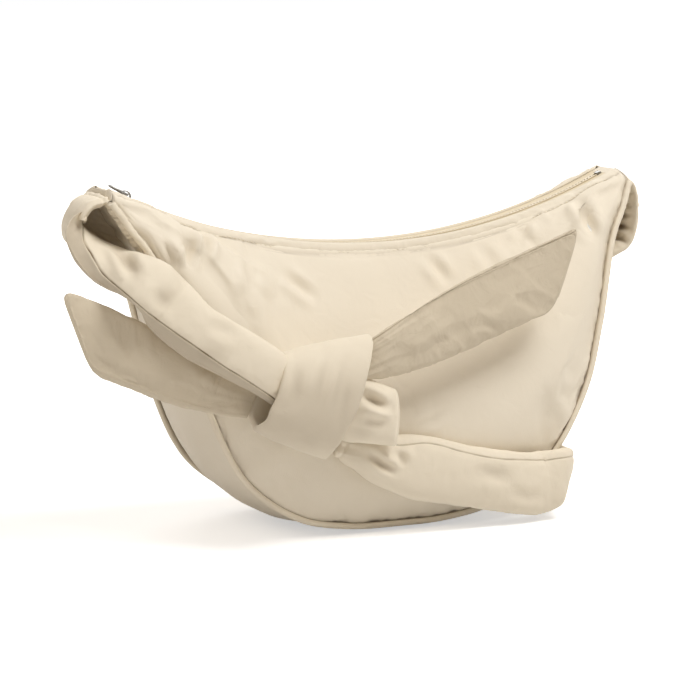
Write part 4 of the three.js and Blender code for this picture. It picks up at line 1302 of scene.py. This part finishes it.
def add_tail(name, root, way, side, size, slants, folds, node, seam, drawn, seed):
    """A tail is gathered at the knot, lightly padded, and sewn shut on the slant.

    Size is its width and length, seam the share of the way round at which its seam lies, and drawn
    how strongly the seam draws the cloth in and how much painted shade lies along it."""
    way = Vector(way).normalized()
    side = Vector(side)
    across = (side - way * side.dot(way)).normalized()
    out = way.cross(across).normalized()
    sleeve = Sleeve(128, crowd=0.6, squareness=0.8, pinch=1.12)
    shares = [Vector(s) for s in TAIL_SHARES]
    steps = 210
    length = size[1]
    for i in range(steps + 1):
        reach, opened, full = spline(shares, i / steps)
        lean = across + way * mix(slants[0], slants[1], clamp(reach) ** 2)
        # The two corners at its end are turned round.
        near = clamp(1 - (1 - reach) * length / TAIL_CORNER)
        rounded = 2 * TAIL_CORNER * (1 - math.sqrt(1 - near * near)) * 0.9
        width = mix(TAIL_ROOT_WIDTH, size[0], opened) * lean.length - rounded
        thick = mix(2.4, 11, clamp(full))
        sleeve.add(root + way * length * reach, lean.normalized(), out, width, thick, seam)
    sleeve.close((0.99, 0.97, 0.9), (0.5, 0.8, 0.9))
    piece = sleeve.piece(name)
    girth = {}
    for run, turn in zip(sleeve.run, sleeve.turn):
        girth[run] = max(girth.get(run, 0.0), abs(turn))
    # The root, the end and both edges are held.
    held = [k for k, (run, turn) in enumerate(zip(sleeve.run, sleeve.turn))
        if run < 4 or run > length - 2 or abs(turn) < 0.8 or abs(turn) > girth[run] - 1.2]
    settle(piece, held, pressure=2.2, most=1.6, grow=0.03,
        ease=lambda k: smooth(6, 36, sleeve.run[k]) if k < len(sleeve.run) else 0.0)
    places = places_of(piece)

    def amount(k):
        if k >= len(sleeve.run):
            return 0.0
        run, turn, place = sleeve.run[k], sleeve.turn[k], places[k]
        result = creases(folds, place)
        result += 0.45 * wander(place.x / 13, place.y / 13, place.z / 13 + seed)
        result += 0.22 * wander(place.x / 5, place.y / 5, place.z / 5 + seed)
        # Pulled into folds that fan out from the knot.
        result += 1.1 * wander(turn / (3 + run / 22), run / 60, seed) * bump(run, 34)
        result -= drawn * (1.1 * bump(turn, 0.6) + 0.5 * bump(turn, 3))
        result += 0.35 * drawn * wander(run / 2.8, turn / 8, seed + 5) * bump(abs(turn) - 2.5, 3)
        return result * smooth(-0.5, 2.5, length - run)

    # Painted shade along the seam.
    relief(piece, amount, lambda k: drawn * sleeve.groove(k))
    dress(piece, SHADED_TAIL_CLOTH, "strap_cloth", None, node, fill=0.35)
    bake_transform(piece)


def add_tails():
    """The left tail leaves the knot at its lower left, and the right one at its upper right."""
    root = from_knot(-BAND_LEFT - KNOT_GAP, -13, -14)
    add_tail("tail_left_end", root, (-0.905, 0.2, 0.4), (0.4, 0.1, 0.9), (44, 122), (0, 0.9), [
        (Line((-128, -80, 98), (-150, -77, 108), (-176, -70, 122)), 5, 0.9),
        (Line((-132, -80, 88), (-160, -75, 98), (-190, -68, 112)), 6, 0.8),
    ], node="tail_left", seam=0.55, drawn=0.0, seed=21)
    root = from_knot(BAND_RIGHT + KNOT_GAP, 38, 4)
    add_tail("tail_right_end", root, (0.949, 0.09, 0.304), (-0.304, 0, 0.949), (48, 163), (0.8, 0.8), [
        (Line((-33, -97, 126), (-8, -95, 136), (24, -91, 146)), 4, 1.1),
        (Line((-30, -97, 120), (4, -94, 130), (50, -88, 143)), 5, 1.0),
        (Line((20, -92, 156), (60, -88, 170), (96, -84, 181)), 6, 0.7),
    ], node="tail_right", seam=0.035, drawn=0.35, seed=34)


# Zip

def bent(s, y, z):
    """A point of the zip, drawn flat along s and bent to the arc."""
    angle = s / ZIP_RADIUS
    radius = ZIP_RADIUS + TAPE_DROP - z
    return Vector((math.sin(angle) * radius, y, ZIP_LOW + ZIP_RADIUS - math.cos(angle) * radius))


ZIP_HALF_LENGTH = math.asin(ZIP_REACH / ZIP_RADIUS) * ZIP_RADIUS


def add_tapes():
    """The two woven tapes. They are parted at the left end, where the slider rests."""
    cord_reach, parted_reach, cord_width, parted_length = 1.1, 2.1, 1.2, 10
    half = TAPE_THICK / 2
    for side, word in ((-1, "front"), (1, "back")):

        def face(u, v, z):
            s = mix(-ZIP_HALF_LENGTH, ZIP_HALF_LENGTH, u)
            parted = clamp((1 - (s + ZIP_HALF_LENGTH) / parted_length) * 2)
            y = mix(mix(cord_reach, parted_reach, parted) + cord_width + FIT, ZIP_HALF - FIT, v)
            return bent(s, side * y, z + 0.12 * wander(s / 9, v * 2, side))

        piece = shell(f"zip_tape_{word}_woven", 240, 8, face, (half, -half), (ZIP_HALF_LENGTH * 2, 10))
        dress(piece, ZIP_TAPE, "zip_nylon", "bag", f"zip_tape_{word}")


def add_end_tabs():
    """Folded cloth tabs that close the top beyond each end of the zip."""
    start, stop = ZIP_REACH + 1.15, ZIP_REACH + 7.1
    half = TAB_THICK / 2
    for side, word in ((-1, "left"), (1, "right")):

        def face(u, v, z):
            x = mix(start, stop, u)
            y = mix(-1, 1, v) * (ZIP_HALF - FIT)
            fall = 0.25 * abs(2 * u - 1) ** 4 + 0.2 * abs(2 * v - 1) ** 6
            height = hem_height(x) - TAPE_DROP + z * (1 - fall) + 0.12 * wander(x, y / 2, side)
            return Vector((side * x, y, height))

        piece = shell(f"zip_end_tab_{word}_fold", 12, 60, face, (half, -half), (stop - start, 24))
        dress(piece, BODY_CLOTH, "lining_cloth", "bag", f"zip_end_tab_{word}")


def add_horn_facings():
    """Narrow facings that close each horn between the panels' ends, the tab and the gusset."""
    half, thick = HORN_DEPTH / 2, FACING_THICK / 2
    for side, word in ((-1, "left"), (1, "right")):

        def face(u, v, x):
            y = mix(-half, half, u)
            low = Vector((side * (TIP_REACH + 0.4), y, TIP_HEIGHT - 0.6))
            tab = Vector((side * (TIP_REACH - 0.6), y, TIP_HEIGHT + HORN_RISE - 1.7))
            share = clamp((abs(y) - ZIP_HALF) / (half - ZIP_HALF))
            # Where the panel's end lies at this depth
            down = math.asin(share ** 1.25) / math.pi * 2
            end = panel_point(math.copysign(1, y), clamp(side), down, 0) + Vector((side * 0.3, 0, 0.2))
            high = tab.lerp(Vector((end.x, y, end.z)), smooth(ZIP_HALF - 0.6, ZIP_HALF + 0.4, abs(y)))
            point = low.lerp(high, v)
            point.x += side * (x + 0.12 * wander(y / 1.6, v * 2, side))
            return point

        piece = shell(f"horn_facing_{word}", 96, 8, face, (thick, -thick), (HORN_DEPTH, 7))
        # A little painted shade all over the facings.
        mark(piece, [0.1] * len(piece.data.vertices))
        dress(piece, BODY_CLOTH, "outer_cloth", "bag")


def refine(node, name, material, width, body, slot):
    """A copy of a hard piece with its edges eased by a width."""
    source = frame["nodes"][node]
    piece = bpy.data.objects.new(name, source.data.copy())
    bpy.context.scene.collection.objects.link(piece)
    form = bmesh.new()
    form.from_mesh(piece.data)
    bmesh.ops.remove_doubles(form, verts=form.verts, dist=0.01 * MM)
    bmesh.ops.dissolve_limit(form, angle_limit=0.02, verts=form.verts, edges=form.edges)
    form.to_mesh(piece.data)
    form.free()
    ease = piece.modifiers.new("eased edges", "BEVEL")
    ease.width = width * MM
    ease.segments = 3
    ease.limit_method = "ANGLE"
    ease.angle_limit = math.radians(30)
    bpy.ops.object.select_all(action="DESELECT")
    piece.select_set(True)
    bpy.context.view_layer.objects.active = piece
    bpy.ops.object.modifier_apply(modifier=ease.name)
    bpy.ops.object.shade_smooth_by_angle(angle=math.radians(40))
    dress(piece, material, slot, body, node)


def add_slider():
    """The slider's body and crown, the zip's stops and the wire pull."""
    refine("zip_slider_body", "slider_body_cast", SLIDER_METAL, 0.25, "slider", "slider_metal")
    refine("zip_slider_crown", "slider_crown_cast", SLIDER_METAL, 0.2, "slider", "slider_metal")
    for node in ("zip_bottom_stop", "zip_top_stop_front", "zip_top_stop_back"):
        refine(node, f"{node}_pressed", SLIDER_METAL, 0.25, "bag", "slider_metal")
    # The pull is a loop of round wire, and its bar is the hinge. It lies along the zip where the slider
    # rests, dipped a little.
    hinge = Vector(next(j["pos_m"] for j in frame["joints"] if j["name"] == "pull_swing")) / MM
    inset, dip = 11, 0.08
    turn = (ZIP_HALF_LENGTH - inset) / ZIP_RADIUS + dip
    along = Vector((math.cos(turn), 0, -math.sin(turn)))
    up = Vector((math.sin(turn), 0, math.cos(turn)))
    count, sides = 24, 14
    corners = []
    for i in range(count):
        angle = i / count * TURN
        x = math.cos(angle) * PULL_LENGTH if math.cos(angle) < 0 else 0
        corners.append(Vector((x, math.sin(angle) * PULL_HALF, 0)))
    places = []
    for i in range(count):
        p = [corners[(i + d) % count] for d in (-1, 0, 1, 2)]
        places += [hermite(*p, t / 6, 1, 1, 1) for t in range(6)]
    rings = []
    for i, place in enumerate(places):
        way = (places[(i + 1) % len(places)] - places[i - 1]).normalized()
        sideways = Vector((-way.y, way.x, 0))
        ring = []
        for j in range(sides):
            angle = j / sides * TURN
            point = place + sideways * math.cos(angle) * WIRE_RADIUS
            point += Vector((0, 0, 1)) * math.sin(angle) * WIRE_RADIUS
            ring.append(hinge + along * point.x + Vector((0, 1, 0)) * point.y + up * point.z)
        rings.append(ring)
    piece = tube("pull_wire_loop", rings, joined=True)
    dress(piece, SLIDER_METAL, "slider_metal", "pull", "zip_pull")


def dress_teeth():
    """The two rows of teeth keep their own shape, and get their moulded nylon."""
    for node in ("zip_teeth_front", "zip_teeth_back"):
        piece = frame["nodes"][node]
        for slot in piece.material_slots:
            slot.link = "OBJECT"
            slot.material = ZIP_TEETH


def add_hem_stitches(name, panel, side):
    """Lockstitches, 2.6 mm long, that hold the hem facing along the zip."""
    rows, sides = PANEL_ROWS + 1, 6
    # The row is found on the finished cover, at HEM_ROW down each of its columns.
    line = []
    for column in range(4, PANEL_COLUMNS - 3):
        points = [panel.data.vertices[column * rows + j].co / MM for j in range(24)]
        run = 0.0
        for a, b in zip(points, points[1:]):
            step = (b - a).length
            if run + step >= HEM_ROW:
                line.append(a.lerp(b, (HEM_ROW - run) / step) + Vector((0, side * 0.15, 0.1)))
                break
            run += step
    grid = Grid()
    ways = [0.0]
    for a, b in zip(line, line[1:]):
        ways.append(ways[-1] + (b - a).length)

    def at(way):
        i = min(bisect.bisect_right(ways, way), len(ways) - 1) - 1
        return line[i].lerp(line[i + 1], (way - ways[i]) / (ways[i + 1] - ways[i]))

    # Along a stitch, how thick it is and how far it sinks
    shares = ((0, 0.06, 0.25), (0.15, 0.26, 0), (0.5, THREAD_RADIUS, -0.05), (0.85, 0.26, 0), (1, 0.06, 0.25))
    start = 2.0
    while start + STITCH_PITCH < ways[-1]:
        a, b = at(start), at(start + STITCH)
        way = (b - a).normalized()
        u = way.cross(Vector((0, side, 0.5))).normalized()
        v = way.cross(u)
        first = len(grid.points)
        for share, radius, sink in shares:
            centre = a.lerp(b, share) - Vector((0, side, 0)) * sink
            for j in range(sides):
                angle = j / sides * TURN
                grid.points.append(centre + u * math.cos(angle) * radius + v * math.sin(angle) * radius)
        last = len(grid.points) - sides
        for i in range(first, last, sides):
            for j in range(sides):
                k, m = i + j, i + (j + 1) % sides
                grid.face([k, m, m + sides, k + sides], [(0, 0), (0, 1), (1, 1), (1, 0)])
        grid.face([first + j for j in range(sides)][::-1], [(0, 0)] * sides)
        grid.face([last + j for j in range(sides)], [(0, 0)] * sides)
        start += STITCH_PITCH
    dress(grid.piece(name), THREAD, "outer_cloth", "bag")


set_camera()
set_stage()
front_cover = add_panel("front_cover", -1, FRONT_FOLDS, "front_panel")
back_cover = add_panel("back_cover", 1, BACK_FOLDS, "back_panel")
add_hem_stitches("front_hem_stitches", front_cover, -1)
add_hem_stitches("back_hem_stitches", back_cover, 1)
add_gusset()
add_inner_layers()
add_piping("front_piping_cord", -1, "front_piping")
add_piping("back_piping_cord", 1, "back_piping")
add_tapes()
add_end_tabs()
add_horn_facings()
add_slider()
dress_teeth()
add_strap("strap_left_run", "strap_left", LEFT_STATIONS, LEFT_SEAM, LEFT_FOLDS, LEFT_SHADE,
    steps=300, sides=132, seam=1.0, strip=3.4, seed=11)
add_strap("strap_right_run", "strap_right", RIGHT_STATIONS, RIGHT_SEAM, RIGHT_FOLDS, RIGHT_SHADE,
    steps=470, sides=116, seam=0.5, strip=0, seed=17)
add_root_web()
add_mouth_rim()
add_band()
add_crossing()
add_bight()
add_tails()
